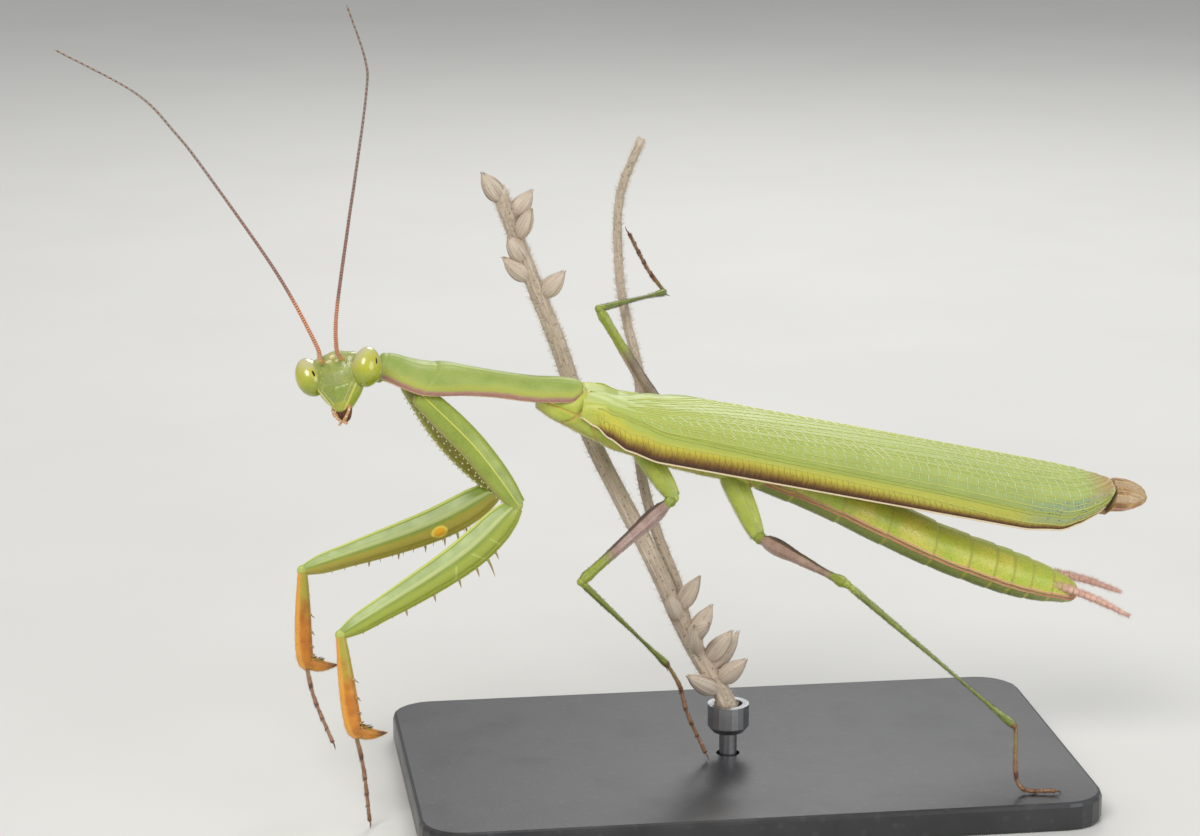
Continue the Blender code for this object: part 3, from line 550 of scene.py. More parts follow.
def headSkin():
    top, low = head["top"], head["low"]
    z = np.linspace(low + 0.01, top - 0.01, 170)[:, None]
    c, s = circle(192)
    above, below = np.clip((top - z) / 0.3, 0, 1), np.clip((z - low) / 0.3, 0, 1)
    close = np.sqrt(above * (2 - above)) * np.sqrt(below * (2 - below))
    half, ahead, behind = flows(head["rows"], z)
    x = half * close * signedPower(c, head["square"])
    y = np.where(s > 0, ahead, behind) * close * s
    wide = np.abs(x)
    front = plateau(s, 0.1, 2, 0.03)
    margin = 1.72 + (z + 0.7) * 0.66
    cheek = plateau(wide - margin, 0.06, 9, 0.05) * plateau(z, -2.9, -0.5, 0.1)
    face = {
        "shield": plateau(wide, -1, 0.75 + 0.25 * z, 0.12) * plateau(z, -0.6, 0.35, 0.1),
        "clypeus": plateau(wide, -1, margin - 0.55, 0.08) * plateau(z, -2.3, -0.75, 0.08),
        "fold": hill(wide, margin - 0.36, 0.06) * plateau(z, -2.3, -0.6, 0.08),
        "nose": hill(wide, 0, 0.2) * plateau(z, -2.3, -0.9, 0.15),
        "ridge": hill(wide, margin, 0.09) * plateau(z, -2.75, -0.65, 0.06),
        "labrum": plateau(wide, -1, 0.5 + 0.55 * (z + 2.6), 0.05) * plateau(z, -2.85, -2.05, 0.05),
        "groove": hill(wide, 1.0 + 0.1 * z, 0.06) * plateau(z, 1.0, 1.9, 0.1),
        "brow": np.exp(-((wide - 0.55) / 0.3) ** 2 - ((z - 1.3) / 0.28) ** 2),
        "seam": hill(z, -0.68, 0.06) * plateau(wide, -1, 1, 0.1),
        "crest": hill(wide, 0, 0.09) * plateau(z, -0.5, 0.3, 0.1)}
    y = y + sum(head["rises"][part] * face[part] for part in face) * front
    z = z + 0 * c
    rim = np.zeros_like(y)
    for side in (-1, 1):
        away = np.stack([x - side * head["eyeOffset"][0], y - head["eyeOffset"][1],
                         z - head["eyeOffset"][2]], axis=-1) @ eyeLean(side)
        reach = np.linalg.norm(away / np.array(head["eyeRadii"]), axis=-1)
        swell = hill(reach, 1.03, 0.04)
        rim = np.maximum(rim, swell)
        x = x + side * -0.02 * swell
        y = y + np.sign(s) * 0.05 * swell
    points = inHead(np.stack([x, y, z], axis=-1))
    shape = addGrid(newShape(), points, {
        "ridge": np.maximum(face["ridge"], 0.5 * face["fold"]) * front, "rim": rim, "cheek": cheek,
        "shield": face["shield"] * front, "lip": face["labrum"] * front, "high": z,
        "nose": np.maximum(face["clypeus"], face["labrum"]) * front, "behind": 1 - front})
    for x0, z0, size in head["ocelli"]:
        y0 = faceDepth(x0, z0)
        addBall(shape, inHead((x0, y0 + 0.02, z0)), (size * 1.3, size, size),
                {"ocellus": 1.0, "high": z0}, rows=12, cols=18)
    for x0, z0 in head["warts"]:
        addBall(shape, inHead((x0, faceDepth(x0, z0) + 0.02, z0)), (0.07, 0.06, 0.07),
                {"ocellus": 0.66, "high": z0})
    material = cuticle("headGreen", {
        "ground": (160, 168, 84), "deep": (138, 152, 64), "cloud": 1500.0, "grain": 16000.0,
        "marks": [("behind", (146, 160, 64), 1, 0.4, 0.2),
                  ("shield", (150, 160, 90), 1, 0.35, 0.5),
                  ("nose", (140, 156, 66), 1, 0.35, 0.4),
                  ("high", (170, 178, 104), 2.0, 0.4, 0.5),
                  ("cheek", (160, 172, 50), 1, 0.4, 0.3),
                  ("lip", (170, 172, 58), 1, 0.2, 0.7),
                  ("ridge", (204, 200, 92), 1, 0.3, 0.6),
                  ("rim", (172, 178, 104), 1, 0.3, 0.3),
                  ("ocellus", (178, 190, 110), 0.66, 0.1, 0.05),
                  # painted highlight: the ocelli are painted cream as the highlights on their
                  # glossy bumps
                  ("ocellus", (222, 210, 152), 1, 0.2, 0.1)],
        "dots": (176, 190, 96), "roughness": (0.22, 0.38),
        "finish": {"Coat Weight": 0.5, "Coat Roughness": 0.1}})
    makePiece("headSkin", shape, material, ["head"])
    hairPiece("headHairs", paleHair, "face_green",
              (points, 1100, 0.12, 0.008, 11, {"weight": 0.5 * plateau(z, -2.9, 0.2, 0.1)}))


eye = {
    "pupils": {"Left": (-0.84, 0.38, 0.38), "Right": (-0.62, 0.78, -0.04)},  # where the pseudopupils are painted: painted shade, the dark spot a real eye shows only where it faces the viewer, fixed here facing the camera
    "pupilSize": (0.075, 0.18), "haloSize": (0.3, 0.4), "egg": 0.09, "eggEnds": 0.04,
}


def eyes():
    ball = ballGrid(90, 120)
    for name, side in (("Left", -1), ("Right", 1)):
        egg = ball.copy()
        narrow = 1 - eye["egg"] * egg[..., 2] - eye["eggEnds"] * egg[..., 2] ** 2
        egg[..., 0] *= narrow
        egg[..., 1] *= narrow
        place = (egg * np.array(head["eyeRadii"])) @ eyeLean(side).T
        place = place + np.array(head["eyeOffset"]) * (side, 1, 1)
        toPupil = unit(np.array(eye["pupils"][name]))
        level = unit(np.cross((0, 0, 1), toPupil))
        sideways, upright = ball @ level, ball @ np.cross(toPupil, level)
        facing = plateau(ball @ toPupil, 0.2, 2, 0.05)
        (wide, high), (haloWide, haloHigh) = eye["pupilSize"], eye["haloSize"]
        pupil = np.exp(-((sideways / wide) ** 2 + (upright / high) ** 2) ** 2) * facing
        halo = np.exp(-((sideways / haloWide) ** 2 + (upright / haloHigh) ** 2)) * facing
        inner = plateau(-side * ball[..., 0] * 0.6 + ball[..., 2] * 0.8, 0.55, 3, 0.3)
        shape = addGrid(newShape(), inHead(place), {
            "pale": inner, "pupil": pupil, "halo": halo, "low": -ball[..., 2]}, False)
        material = cuticle("eyeGreen" + name, {
            "ground": (190, 188, 46), "deep": (180, 182, 40), "cloud": 500.0, "grain": 24000.0,
            "marks": [("low", (150, 160, 30), 1.0, 0.35, 0.75),
                      ("pale", (206, 200, 150), 1, 0.2, 0.85),
                      ("halo", (196, 190, 60), 1, 0.1, 0.6),
                      # painted shade: the black pseudopupil, fixed on the side of the eye that
                      # faces the camera
                      ("pupil", (10, 10, 6), 1, 0.5, 0.15)],
            "roughness": (0.16, 0.22), "relief": 0.006, "wander": 0.0,
            "finish": {"Coat Weight": 0.8, "Coat Roughness": 0.05, "Subsurface Weight": 0.2}})
        makePiece("eye" + name, shape, material, ["eye_" + name.lower()])


mouth = {
    "rows": [(-3.68, 0.2, 0.3, 0.15), (-3.4, 0.44, 0.5, 0.3), (-3.0, 0.62, 0.62, 0.35),
             (-2.6, 0.72, 0.75, 0.4)],
    "top": -2.6, "low": -3.7,
    "palps": [  # path of the right one, in the head's frame, its radius at both ends, joints
        ([(0.72, 0.5, -2.3), (0.68, 0.8, -2.75), (0.42, 0.9, -3.2), (0.12, 0.86, -3.52),
          (0.24, 0.8, -3.74), (0.42, 0.74, -3.78)], 0.15, 0.09, 5),
        ([(0.5, 0.5, -2.75), (0.42, 0.72, -3.15), (0.2, 0.72, -3.5), (0.24, 0.64, -3.7)],
         0.12, 0.08, 3)],
}


def mouthParts():
    top, low = mouth["top"], mouth["low"]
    z = np.linspace(low + 0.01, top, 44)[:, None]
    c, s = circle(64)
    close = np.sqrt(np.clip((z - low) / 0.2, 0, 1))
    half, ahead, behind = flows(mouth["rows"], z)
    x = half * c * close
    y = 0.15 + np.where(s > 0, ahead, behind) * s * close
    y = y - 0.12 * hill(x, 0, 0.05) * plateau(s, 0.2, 2, 0.05)
    shape = addGrid(newShape(), inHead(stacked(x, y, z)), {"joint": 0.0, "jaw": 1.0})
    for path, wide, slim, parts in mouth["palps"]:
        for side in (-1, 1):
            points = smoothPath([np.array(p) * (side, 1, 1) for p in path], 60)
            t = np.linspace(0, 1, 61)
            step = (t * parts) % 1
            radii = (wide + (slim - wide) * t) * (0.78 + 0.22 * np.sin(np.pi * step) ** 0.6)
            radii[-4:] *= (0.9, 0.75, 0.5, 0.2)
            addGrid(shape, inHead(roundBar(points, radii, 14)),
                    {"joint": (1 - np.sin(np.pi * step) ** 0.5)[:, None], "jaw": 0.0})
    material = cuticle("palpBrown", {
        "ground": (206, 154, 112), "deep": (178, 132, 84), "cloud": 2500.0,
        "marks": [("joint", (228, 196, 150), 1, 0.4, 0.3), ("jaw", (98, 58, 34), 1, 0.4, 0.2)],
        "dots": (96, 60, 34), "dotStrength": 0.35, "roughness": (0.3, 0.45), "relief": 0.01})
    makePiece("mouthPalps", shape, material, ["mouthparts"])


# Feelers.

feelers = {
    "Right": {"foot": (0.85, 1.42, 1.5), "socket": (0.83, 1.06, 1.4),
              "links": [(1.6, 180, 75), (6.4, 180, 63), (9.6, 180, 57), (4.1, 180, 54),
                        (4.3, 180, 47), (7.0, 180, 30)]},
    "Left": {"foot": (-0.85, 1.42, 1.5), "socket": (-0.83, 1.06, 1.4),
             "links": [(1.2, -112, 50), (3.5, -90, 68), (7.8, -66, 73), (5.0, -74, 66),
                       (6.6, -74, 68), (3.0, -95, 64), (5.0, -128, 62)]},
    "baseRadius": 0.185, "tipRadius": 0.085, "beadLength": 0.17, "beadGrowth": 1.011,
}


def feeler(name):
    look = feelers[name]
    foot = inHead(look["foot"])
    path = smoothPath(chain(foot, look["links"]), 900)
    step = np.linalg.norm(np.diff(path, axis=0), axis=1)
    length = np.concatenate([[0], np.cumsum(step)])
    total = length[-1]
    beads = feelers["beadLength"]
    phase = np.log1p(length * (feelers["beadGrowth"] - 1) / beads) / math.log(feelers["beadGrowth"])
    taper = feelers["baseRadius"] + (feelers["tipRadius"] - feelers["baseRadius"]) * (
        length / total) ** 0.7
    belly = np.sin(np.pi * (phase % 1)) ** 0.55
    radii = taper * (0.78 + 0.22 * belly)
    radii[-6:] *= np.linspace(0.95, 0.25, 6)
    grid = roundBar(path, radii, 10)
    shape = addGrid(newShape(), grid, {"reach": length[:, None], "bead": belly[:, None]})
    socket = inHead(look["socket"])
    scape = smoothPath([socket - (foot - socket) * 0.3, socket, foot, path[20]], 60)
    t = np.linspace(0, 1, 61)
    wide = between([(0, 0.24), (0.25, 0.23), (0.32, 0.16), (0.42, 0.19), (0.7, 0.19), (0.8, 0.15),
                    (0.88, 0.18), (1.0, 0.17)], t)
    addGrid(shape, roundBar(scape, wide, 24),
            {"scape": 1.0, "reach": -1.0, "bead": 1.0})
    material = cuticle("feelerBrown" + name, {
        "ground": (166, 132, 124), "deep": (144, 116, 112), "cloud": 2600.0,
        "marks": [("reach", (228, 156, 122), 0.0, 4.6, 2.2),
                  ("reach", (146, 138, 138), 34.0, 12.0, 12.0),
                  ("bead", (132, 64, 48), 0.0, 0.5, 0.3),
                  ("scape", (204, 164, 96), 1.0, 0.3, 0.2)],
        "roughness": (0.4, 0.6), "relief": 0.008, "finish": {"Coat Weight": 0.1}})
    nodes = ["antenna_%s_%s" % (name.lower(), part) for part in ("base", "mid", "tip")]
    makePiece("feeler" + name, shape, material, nodes)
    hairPiece("feelerHairs" + name, paleHair, "feeler",
              (grid, 2600, 0.14, 0.006, 21 if name == "Left" else 22, {"lean": 0.55, "bend": 0.5}))


# Neck and thorax.

pronotum = {
    "start": -23.6, "length": 16.6, "rise": 0.142, "level": 0.25,
    "rows": [  # distance from the front, half width, above and below the margins, their drop
        (0.0, 1.3, 1.4, 0.6, 0.0), (1.0, 1.6, 1.6, 0.7, 0.15), (2.4, 2.0, 1.55, 0.7, 0.4),
        (3.8, 2.25, 1.6, 0.6, 0.6), (5.2, 2.05, 1.9, 0.6, 0.62), (7.2, 1.7, 1.7, 0.6, 0.45),
        (9.6, 1.58, 1.45, 0.6, 0.3), (12.6, 1.58, 1.4, 0.6, 0.25), (15.0, 1.5, 1.4, 0.8, 0.0),
        (16.1, 1.25, 1.2, 0.6, -0.15), (16.6, 0.8, 0.8, 0.35, -0.35)],
    "keel": 0.07, "groove": 0.09, "grooveAt": 4.6, "flange": 0.07, "frontDip": 0.06,
    "underRidge": 0.05, "denticles": 40, "denticleSizes": (0.1, 0.05), "denticleRadius": 0.045,
}


neck = {
    "front": (0, -0.5, 0.1), "inside": 1.2, "height": 0.55,  # its end inside the shield
    "radius": [(0, 0.7), (0.3, 0.84), (0.75, 0.86), (1, 0.75)],
    "folds": [(0.05, 46, 0), (0.03, 103, 1)],  # height, how close, shift
}


def neckSkin():
    front = inHead(neck["front"])
    back = inTrunk((pronotum["start"] + neck["inside"], 0, neck["height"]))
    t = np.linspace(0, 1, 90)
    path = front + (back - front) * t[:, None]
    folds = sum(height * np.sin(t * close + shift) for height, close, shift in neck["folds"])
    radii = between(neck["radius"], t) + folds
    shape = addGrid(newShape(), roundBar(path, radii, 64), {"fold": (folds * 12)[:, None]})
    material = cuticle("neckSoft", {
        "ground": (150, 164, 84), "deep": (128, 146, 70), "cloud": 1800.0,
        "marks": [("fold", (178, 176, 110), 1.0, 0.4, 0.4)], "roughness": (0.45, 0.6)})
    makePiece("neckSkin", shape, material, ["neck"])


def pronotumShield():
    rows, cols = 250, 136
    along = np.linspace(0, pronotum["length"], rows)[:, None]
    c, s = circle(cols)
    half, above, below, drop = flows(pronotum["rows"], along)
    x = pronotum["start"] + along
    level = 0.5 + pronotum["rise"] * along - pronotum["level"] - drop
    ends = np.clip(np.minimum(along / 0.35, (pronotum["length"] - along) / 0.25), 0, 1)
    close = 0.75 + 0.25 * np.sqrt(ends * (2 - ends))
    half, above, below = half * close, above * close, below * close
    y = half * signedPower(c, 0.92) * (1 + pronotum["flange"] * hill(s, 0, 0.09) / half)
    y = y * (1 - 0.3 * plateau(-s, 0.1, 2, 0.05))
    high = np.where(s > 0, above * signedPower(s, 1.06), below * 0.85 * signedPower(s, 0.9))
    keel = hill(y, 0, 0.1) * plateau(s, 0.1, 2, 0.03) * plateau(along, 0.6, 16.2, 0.2)
    sulcus = pronotum["grooveAt"] - 0.5 * (y / 2.0) ** 2
    top = plateau(s, 0.12, 2, 0.03)
    high = high + pronotum["keel"] * keel - pronotum["groove"] * hill(along, sulcus, 0.16) * top
    high = high - pronotum["frontDip"] * hill(along, 0.55, 0.1) * top
    under = plateau(-s, 0.12, 2, 0.03)
    high = high + pronotum["underRidge"] * under * hill(along, 5.4 + 0.6 * np.abs(y), 0.12)
    rim = s * np.where(s > 0, above, below)
    grid = inTrunk(stacked(x, y, level + high))
    shape = addGrid(newShape(), grid, {"rim": rim, "keel": keel})
    dice = np.random.default_rng(31)
    number = pronotum["denticles"]
    for side in (0, cols // 2):
        spots = np.concatenate([np.linspace(0.9, 5.2, number), np.linspace(5.6, 15.4, number // 2)])
        rowsAt = (spots / pronotum["length"] * (rows - 1)).astype(int)
        roots = grid[rowsAt, side]
        out = unit(roots - inTrunk(stacked(x[rowsAt, 0], 0, level[rowsAt, 0])))
        size = np.where(spots < 5.4, *pronotum["denticleSizes"])
        size = size * dice.uniform(0.7, 1.2, len(spots))
        addSpines(shape, roots - out * 0.03, out, size,
                  np.full(len(spots), pronotum["denticleRadius"]), fields={"rim": 0.0})
    material = cuticle("shieldGreen", {
        "ground": (160, 174, 88), "deep": (142, 162, 72), "cloud": 500.0, "grain": 8000.0,
        "marks": [("rim", (158, 164, 70), -1.0, 0.82, 0.1),
                  ("rim", (172, 178, 78), 0.6, 0.1, 0.5),
                  ("keel", (172, 184, 104), 1.0, 0.4, 0.4),
                  ("rim", (176, 138, 112), 0.22, 0.16, 0.2),
                  ("rim", (164, 116, 104), 0.18, 0.1, 0.1),
                  ("rim", (216, 184, 140), 0.0, 0.05, 0.05)],
        "dots": (190, 198, 128), "dotStrength": 0.3, "roughness": (0.42, 0.56), "wander": 0.08,
        "finish": {"Coat Weight": 0.12, "Coat Roughness": 0.4}})
    makePiece("pronotumShield", shape, material, ["prothorax"])
    fuzz = plateau(-s, 0.25, 2, 0.08) + 0.6 * hill(rim, 0.2, 0.16) * (s > 0)
    hairPiece("pronotumHairs", paleHair, "body_green",
              (grid, 5200, 0.17, 0.007, 32, {"weight": fuzz, "tile": (0.0, 0.5)}),
              (grid, 800, 0.1, 0.007, 33, {"weight": 0.5 * top, "tile": (0.5, 1.0)}))


thorax = {
    "rows": [  # station, axis height, half width, above, below
        (-10.2, 1.5, 0.9, 1.0, 0.8), (-8.6, 1.35, 1.6, 1.75, 1.15), (-6.6, 1.1, 2.1, 2.25, 1.35),
        (-4.4, 0.85, 2.45, 1.8, 1.5), (-2.4, 0.7, 2.6, 1.7, 1.6), (-0.4, 0.6, 2.6, 1.65, 1.65),
        (2.6, 0.5, 2.55, 1.5, 1.6), (5.6, 0.42, 2.3, 1.4, 1.55), (8.0, 0.35, 2.0, 1.35, 1.5),
        (9.9, 0.26, 1.8, 1.28, 1.42)],
    "seams": [-7.4, -5.4, -1.4, 1.6, 5.0, 8.2], "seamSlant": 0.75, "seamDepth": 0.12,
}


def thoraxSkin():
    x = np.linspace(-10.2, 9.9, 240)[:, None]
    c, s = circle(120)
    height, half, above, below = flows(thorax["rows"], x)
    seam = np.zeros(np.broadcast(x, s).shape)
    for count, place in enumerate(thorax["seams"]):
        lean = thorax["seamSlant"] * (1 if count % 2 else -1)
        seam = np.maximum(seam, hill(x + lean * s * 1.6, place, 0.11))
    seam = np.maximum(seam, hill(s, -0.52 + 0.1 * np.sin(x * 0.9), 0.045))
    seam = np.maximum(seam, hill(s, 0.3, 0.04))
    plates = (0.08 * np.sin(x * 1.05 + 1.5 * s) + 0.05 * np.sin(x * 2.3 - 3.1 * s + 1)) * np.abs(c)
    reach = 1 + (plates - thorax["seamDepth"] * seam) / half
    high = np.where(s > 0, above, below) * s * reach
    grid = inTrunk(stacked(x, half * c * reach, height + high))
    shape = addGrid(newShape(), grid, {"seam": seam, "high": s})
    material = cuticle("thoraxGreen", {
        "ground": (196, 200, 84), "deep": (170, 184, 62), "cloud": 620.0, "grain": 7000.0,
        "marks": [("high", (200, 200, 104), -1.0, 0.35, 0.5),
                  ("seam", (206, 172, 84), 1.0, 0.25, 0.5)],
        "dots": (206, 204, 120), "dotStrength": 0.25, "roughness": (0.36, 0.52)})
    makePiece("thoraxSkin", shape, material, ["mesothorax", "metathorax"])
    hairPiece("thoraxHairs", paleHair, "body_green",
              (grid, 5200, 0.26, 0.008, 34, {"weight": 0.25 + 0.7 * plateau(-s, 0, 2, 0.2)}))


# Abdomen.

abdomen = {
    "start": 9.5, "end": 39.6,
    "axis": [(9.6, 0.25), (15.3, -0.34), (21.7, -1.49), (26.8, -2.45), (33.3, -3.07),
             (39.3, -3.33)],
    "radius": [(9.6, 1.5), (15.3, 1.68), (21.7, 1.88), (27.0, 1.85), (33.3, 1.84), (37.0, 1.45),
               (39.3, 0.7)],
    "rounding": 1.6, "width": 1.15,
    "hems": [12.4, 16.8, 21.2, 25.6, 28.9, 31.3, 33.0, 34.8, 36.8, 38.6],
    "overlap": 0.11, "hemWidth": 0.1, "bellySwell": 0.05, "ridge": 0.04,
    "folds": [(0.09, 0.1, 0.09), (-0.13, -0.08, 0.07), (0.05, -0.28, 0.08)],  # rise, place, width
}


def rounded(table, x):
    at, value = columns(table, 1)
    wide = abdomen["rounding"]
    return (np.interp(x - wide, at, value) + 2 * np.interp(x, at, value)
            + np.interp(x + wide, at, value)) / 4


def abdomenSkin():
    x = np.linspace(abdomen["start"], abdomen["end"], 340)
    hems = np.array(abdomen["hems"])
    edges = np.concatenate([[abdomen["start"]], hems, [abdomen["end"] + 0.2]])
    k = np.clip(np.searchsorted(edges, x) - 1, 0, len(edges) - 2)
    t = (x - edges[k]) / (edges[k + 1] - edges[k])
    swell = abdomen["overlap"] * (t ** 1.5 - 0.45)
    belly = abdomen["bellySwell"] * np.sin(np.pi * t)
    hem = np.abs(x[:, None] - hems[None]).min(axis=1)[:, None]
    x = x[:, None]
    swell, belly = swell[:, None], belly[:, None]
    c, s = circle(120)
    close = np.clip((abdomen["end"] - x) / 0.9, 0, 1)
    close = np.sqrt(close * (2 - close))
    radius = rounded(abdomen["radius"], x) * close
    upper = plateau(s, 0.02, 2, 0.015)
    reach = radius + (swell + belly) * close * (0.55 + 0.45 * upper)
    side = s * radius
    reach = reach + close * sum(rise * hill(side, place, wide)
                                for rise, place, wide in abdomen["folds"])
    y = reach * abdomen["width"] * c
    z = rounded(abdomen["axis"], x) + reach * s
    z = z + abdomen["ridge"] * close * hill(y, 0, 0.12) * upper
    grid = inTrunk(stacked(x, y, z))
    shape = addGrid(newShape(), grid, {
        "side": side, "hem": hem, "top": y * upper + 9 * (1 - upper)})
    material = cuticle("bellyGreen", {
        "ground": (222, 212, 92), "deep": (182, 198, 66), "cloud": 430.0, "grain": 6500.0,
        "fleck": 5200.0,
        # the lower half is painted a dull darker green: partly the sternites' own colour and partly
        # painted shade, as they lie in shadow under the body
        "marks": [("side", (150, 162, 84), -1.2, 1.0, 0.12),
                  ("top", (186, 198, 76), 0.0, 0.25, 0.5),
                  ("hem", (184, 186, 74), 0.0, abdomen["hemWidth"], 0.14),
                  ("side", (206, 150, 112), 0.14, 0.06, 0.05),
                  ("side", (214, 196, 132), -0.02, 0.05, 0.04),
                  ("side", (190, 128, 98), -0.2, 0.05, 0.05)],
        "dots": (126, 132, 46), "dotStrength": 0.65, "roughness": (0.42, 0.56), "relief": 0.04,
        "finish": {"Subsurface Weight": 0.2}})
    makePiece("abdomenSkin", shape, material,
              ["abdomen_front", "abdomen_middle", "abdomen_end"])
    below = plateau(-side, 0.05, 9, 0.05)
    hairPiece("abdomenHairs", paleHair, "abdomen_green",
              (grid, 7000, 0.16, 0.007, 35, {"weight": below, "tile": (0.0, 0.5)}),
              (grid, 3000, 0.1, 0.006, 36, {"weight": 0.4 * upper, "tile": (0.5, 1.0)}))


tails = {"root": (36.6, 0.95, -2.55), "tip": (44.0, 1.9, -3.15), "rings": 14, "arch": 0.25,
         "radius": [(0, 0.3), (0.2, 0.34), (0.6, 0.3), (0.85, 0.22), (1.0, 0.1)]}


def tail(name, side):
    root = inTrunk(np.array(tails["root"]) * (1, side, 1))
    tip = inTrunk(np.array(tails["tip"]) * (1, side, 1))
    t = np.linspace(0, 1, 260)
    path = root + (tip - root) * t[:, None]
    path[:, 2] += tails["arch"] * np.sin(np.pi * t)
    step = (t * tails["rings"]) % 1
    belly = np.sin(np.pi * step) ** 0.5
    radii = between(tails["radius"], t) * (0.82 + 0.2 * belly)
    grid = roundBar(path, radii, 32)
    shape = addGrid(newShape(), grid, {"bead": belly[:, None], "reach": t[:, None]})
    material = cuticle("cercusPink" + name, {
        "ground": (234, 196, 178), "deep": (218, 172, 154), "cloud": 2200.0,
        "marks": [("reach", (206, 190, 120), 0.0, 0.1, 0.12),
                  ("bead", (196, 148, 130), 0.0, 0.25, 0.3)],
        "roughness": (0.4, 0.58)})
    makePiece("tail" + name, shape, material, ["cercus_" + name.lower()])
    hairPiece("tailHairs" + name, blushHair, "cercus_pink",
              (grid, 1200, 0.4, 0.007, 41 if side < 0 else 42, {"lean": 0.5}))


# Wings.

wing = {
    "start": -6.9, "length": 45.3, "top": 4.2, "rise": 0.09, "halfWidth": 3.5, "crown": 0.45,
    "tipRound": 0.4, "tipFrom": 0.93, "shell": 0.13, "layerGap": 0.75, "layerShrink": 0.5,
    "edgeBend": 0.36, "bendWidth": 0.16, "bendRun": 0.2, "rootDip": 0.5, "rootEnd": 0.045,
    "knee": 0.7, "split": 0.62,  # where the flat top turns down into the side wall
    "widths": [(0, 2.3), (0.05, 2.95), (0.1, 3.3), (0.16, 3.5), (0.84, 3.5), (0.92, 3.15),
               (0.97, 2.4), (1, 1.6)],
    "drops": [(0, 1.2), (0.03, 1.9), (0.06, 2.7), (0.1, 3.4), (0.16, 3.85), (0.85, 3.9),
              (0.91, 3.65), (0.95, 3.0), (0.98, 2.2), (1, 1.6)],
    "reach": [(0, -0.12), (0.06, -0.12), (0.13, 1.6), (0.2, 3.0), (0.85, 3.0), (0.93, 2.7),
              (0.97, 2.1), (1, 1.5)],
    # distance from the front edge of each main vein, by distance along the wing
    "brownTop": [(0, 0.35), (2, 0.7), (6, 1.15), (14, 1.2), (22, 0.9), (32, 0.6), (45, 0.45)],
    "subcosta": [(0, 0.9), (6, 1.75), (16, 1.7), (28, 1.3), (38, 0.7), (45, 0.3)],
    "radius": [(0, 1.25), (4.5, 2.5), (9, 2.35), (18, 2.05), (30, 1.85), (38, 1.5), (45, 0.9)],
    "media": [(0, 1.3), (4.5, 2.75), (9, 2.75), (18, 2.6), (30, 2.5), (38, 2.2), (45, 1.3)],
    "fanFirst": 1.5, "fanSlope": 0.19, "fanSpacing": 0.6, "fanLines": 16,
    "crossStep": 0.84, "crossSlant": -0.35, "costalStep": 0.5,
    # radii of the veins, and the heights of what lifts the surface
    "edgeVein": 0.062, "mainVeins": (0.035, 0.062, 0.04), "fanVeins": (0.042, 0.034),
    "crossVeins": (0.036, 0.028), "costalVein": 0.018, "veinLift": 0.012,
    "ripple": 0.012, "crease": 0.04,
}


def wingPlace(u, v, side, layer):
    half = between(wing["widths"], u)
    drop = between(wing["drops"], u) - layer * wing["layerShrink"]
    reach = between(wing["reach"], u) - layer * np.minimum(0.9, np.maximum(u - 0.06, 0) * 12)
    x = wing["start"] + wing["length"] * u
    top = wing["top"] + wing["rise"] * x
    top = top - layer * wing["layerGap"] * np.minimum(1, np.maximum(u - 0.01, 0) / 0.06)
    x = x - wing["tipRound"] * np.maximum(u - wing["tipFrom"], 0) / 0.07 * (2 * v - 1) ** 2
    knee, split = wing["knee"], wing["split"]
    flatY = reach + (-knee * half - reach) * v / split
    flatZ = top - wing["crown"] * (flatY / wing["halfWidth"]) ** 2
    a = (np.maximum(v, split) - split) / (1 - split) * math.pi / 2
    high = wing["crown"] * (knee * half / wing["halfWidth"]) ** 2
    wallY = -half * (knee + (1 - knee) * np.sin(a))
    wallZ = top - high - (drop - high) * (1 - np.cos(a)) ** 0.9
    y = np.where(v < split, flatY, wallY)
    z = np.where(v < split, flatZ, wallZ)
    if layer == 0:  # the free edge of the upper wing bends down onto the lower one
        bend = np.clip(1 - v / wing["bendWidth"], 0, 1) ** 1.5
        z = z - wing["edgeBend"] * bend * np.clip(u / wing["bendRun"], 0, 1)
    z = z - wing["rootDip"] * np.clip(1 - u / wing["rootEnd"], 0, 1) ** 1.5
    return stacked(x, -y if side > 0 else y, z)


def wingGrid(rows, cols, side, layer):  # columns evenly spaced from the front edge inwards
    u = np.linspace(0, 1, rows)[:, None]
    v = np.linspace(1, 0, 200)[None]
    fine = wingPlace(u, v, side, layer)
    arc = np.concatenate([np.zeros((rows, 1)), np.cumsum(
        np.linalg.norm(np.diff(fine, axis=1), axis=-1), axis=1)], axis=1)
    total = arc[:, -1]
    share = np.linspace(0, 1, cols)
    even = np.stack([np.interp(share * total[i], arc[i], v[0]) for i in range(rows)])
    return wingPlace(u, even, side, layer), total


def wingPoint(grid, normals, total, span, chord, lift):
    rows, cols = grid.shape[:2]
    i = np.clip(span / wing["length"] * (rows - 1), 0, rows - 1.001)
    i0 = i.astype(int)
    wide = total[i0] * (1 - (i - i0)) + total[i0 + 1] * (i - i0)
    j = np.clip(chord / wide, 0, 1) * (cols - 1.001)
    return onGrid(grid, i, j) + normals[i0, j.astype(int)] * lift, chord <= wide


def addVein(shape, surface, span, chord, radius, tone, sides):
    path, inside = wingPoint(*surface, span, chord, wing["veinLift"])
    if inside.sum() < 3:
        return
    path, span, chord = path[inside], span[inside], chord[inside]
    radii = np.full(len(path), radius)
    radii[0] = radii[-1] = radius * 0.4
    hint = surface[1][len(surface[1]) // 2, 3]
    addGrid(shape, roundBar(path, radii, sides, hint),
            {"vein": tone, "span": span[:, None], "chord": chord[:, None], "brown": 2.0})


# How far a line of the fan stands in from the media: the lines leave it one after another.
def fanReach(span, line):
    if line == 0:
        return 0 * span
    full = wing["fanSpacing"] * line
    slope = wing["fanSlope"] * (0.3 + 0.5 * line / 6 + 0.3 * (line / 6) ** 2)
    opened = np.clip((span - wing["fanFirst"]) * slope, 0, 99)
    return full * (1 - np.exp(-opened / full * 1.6))


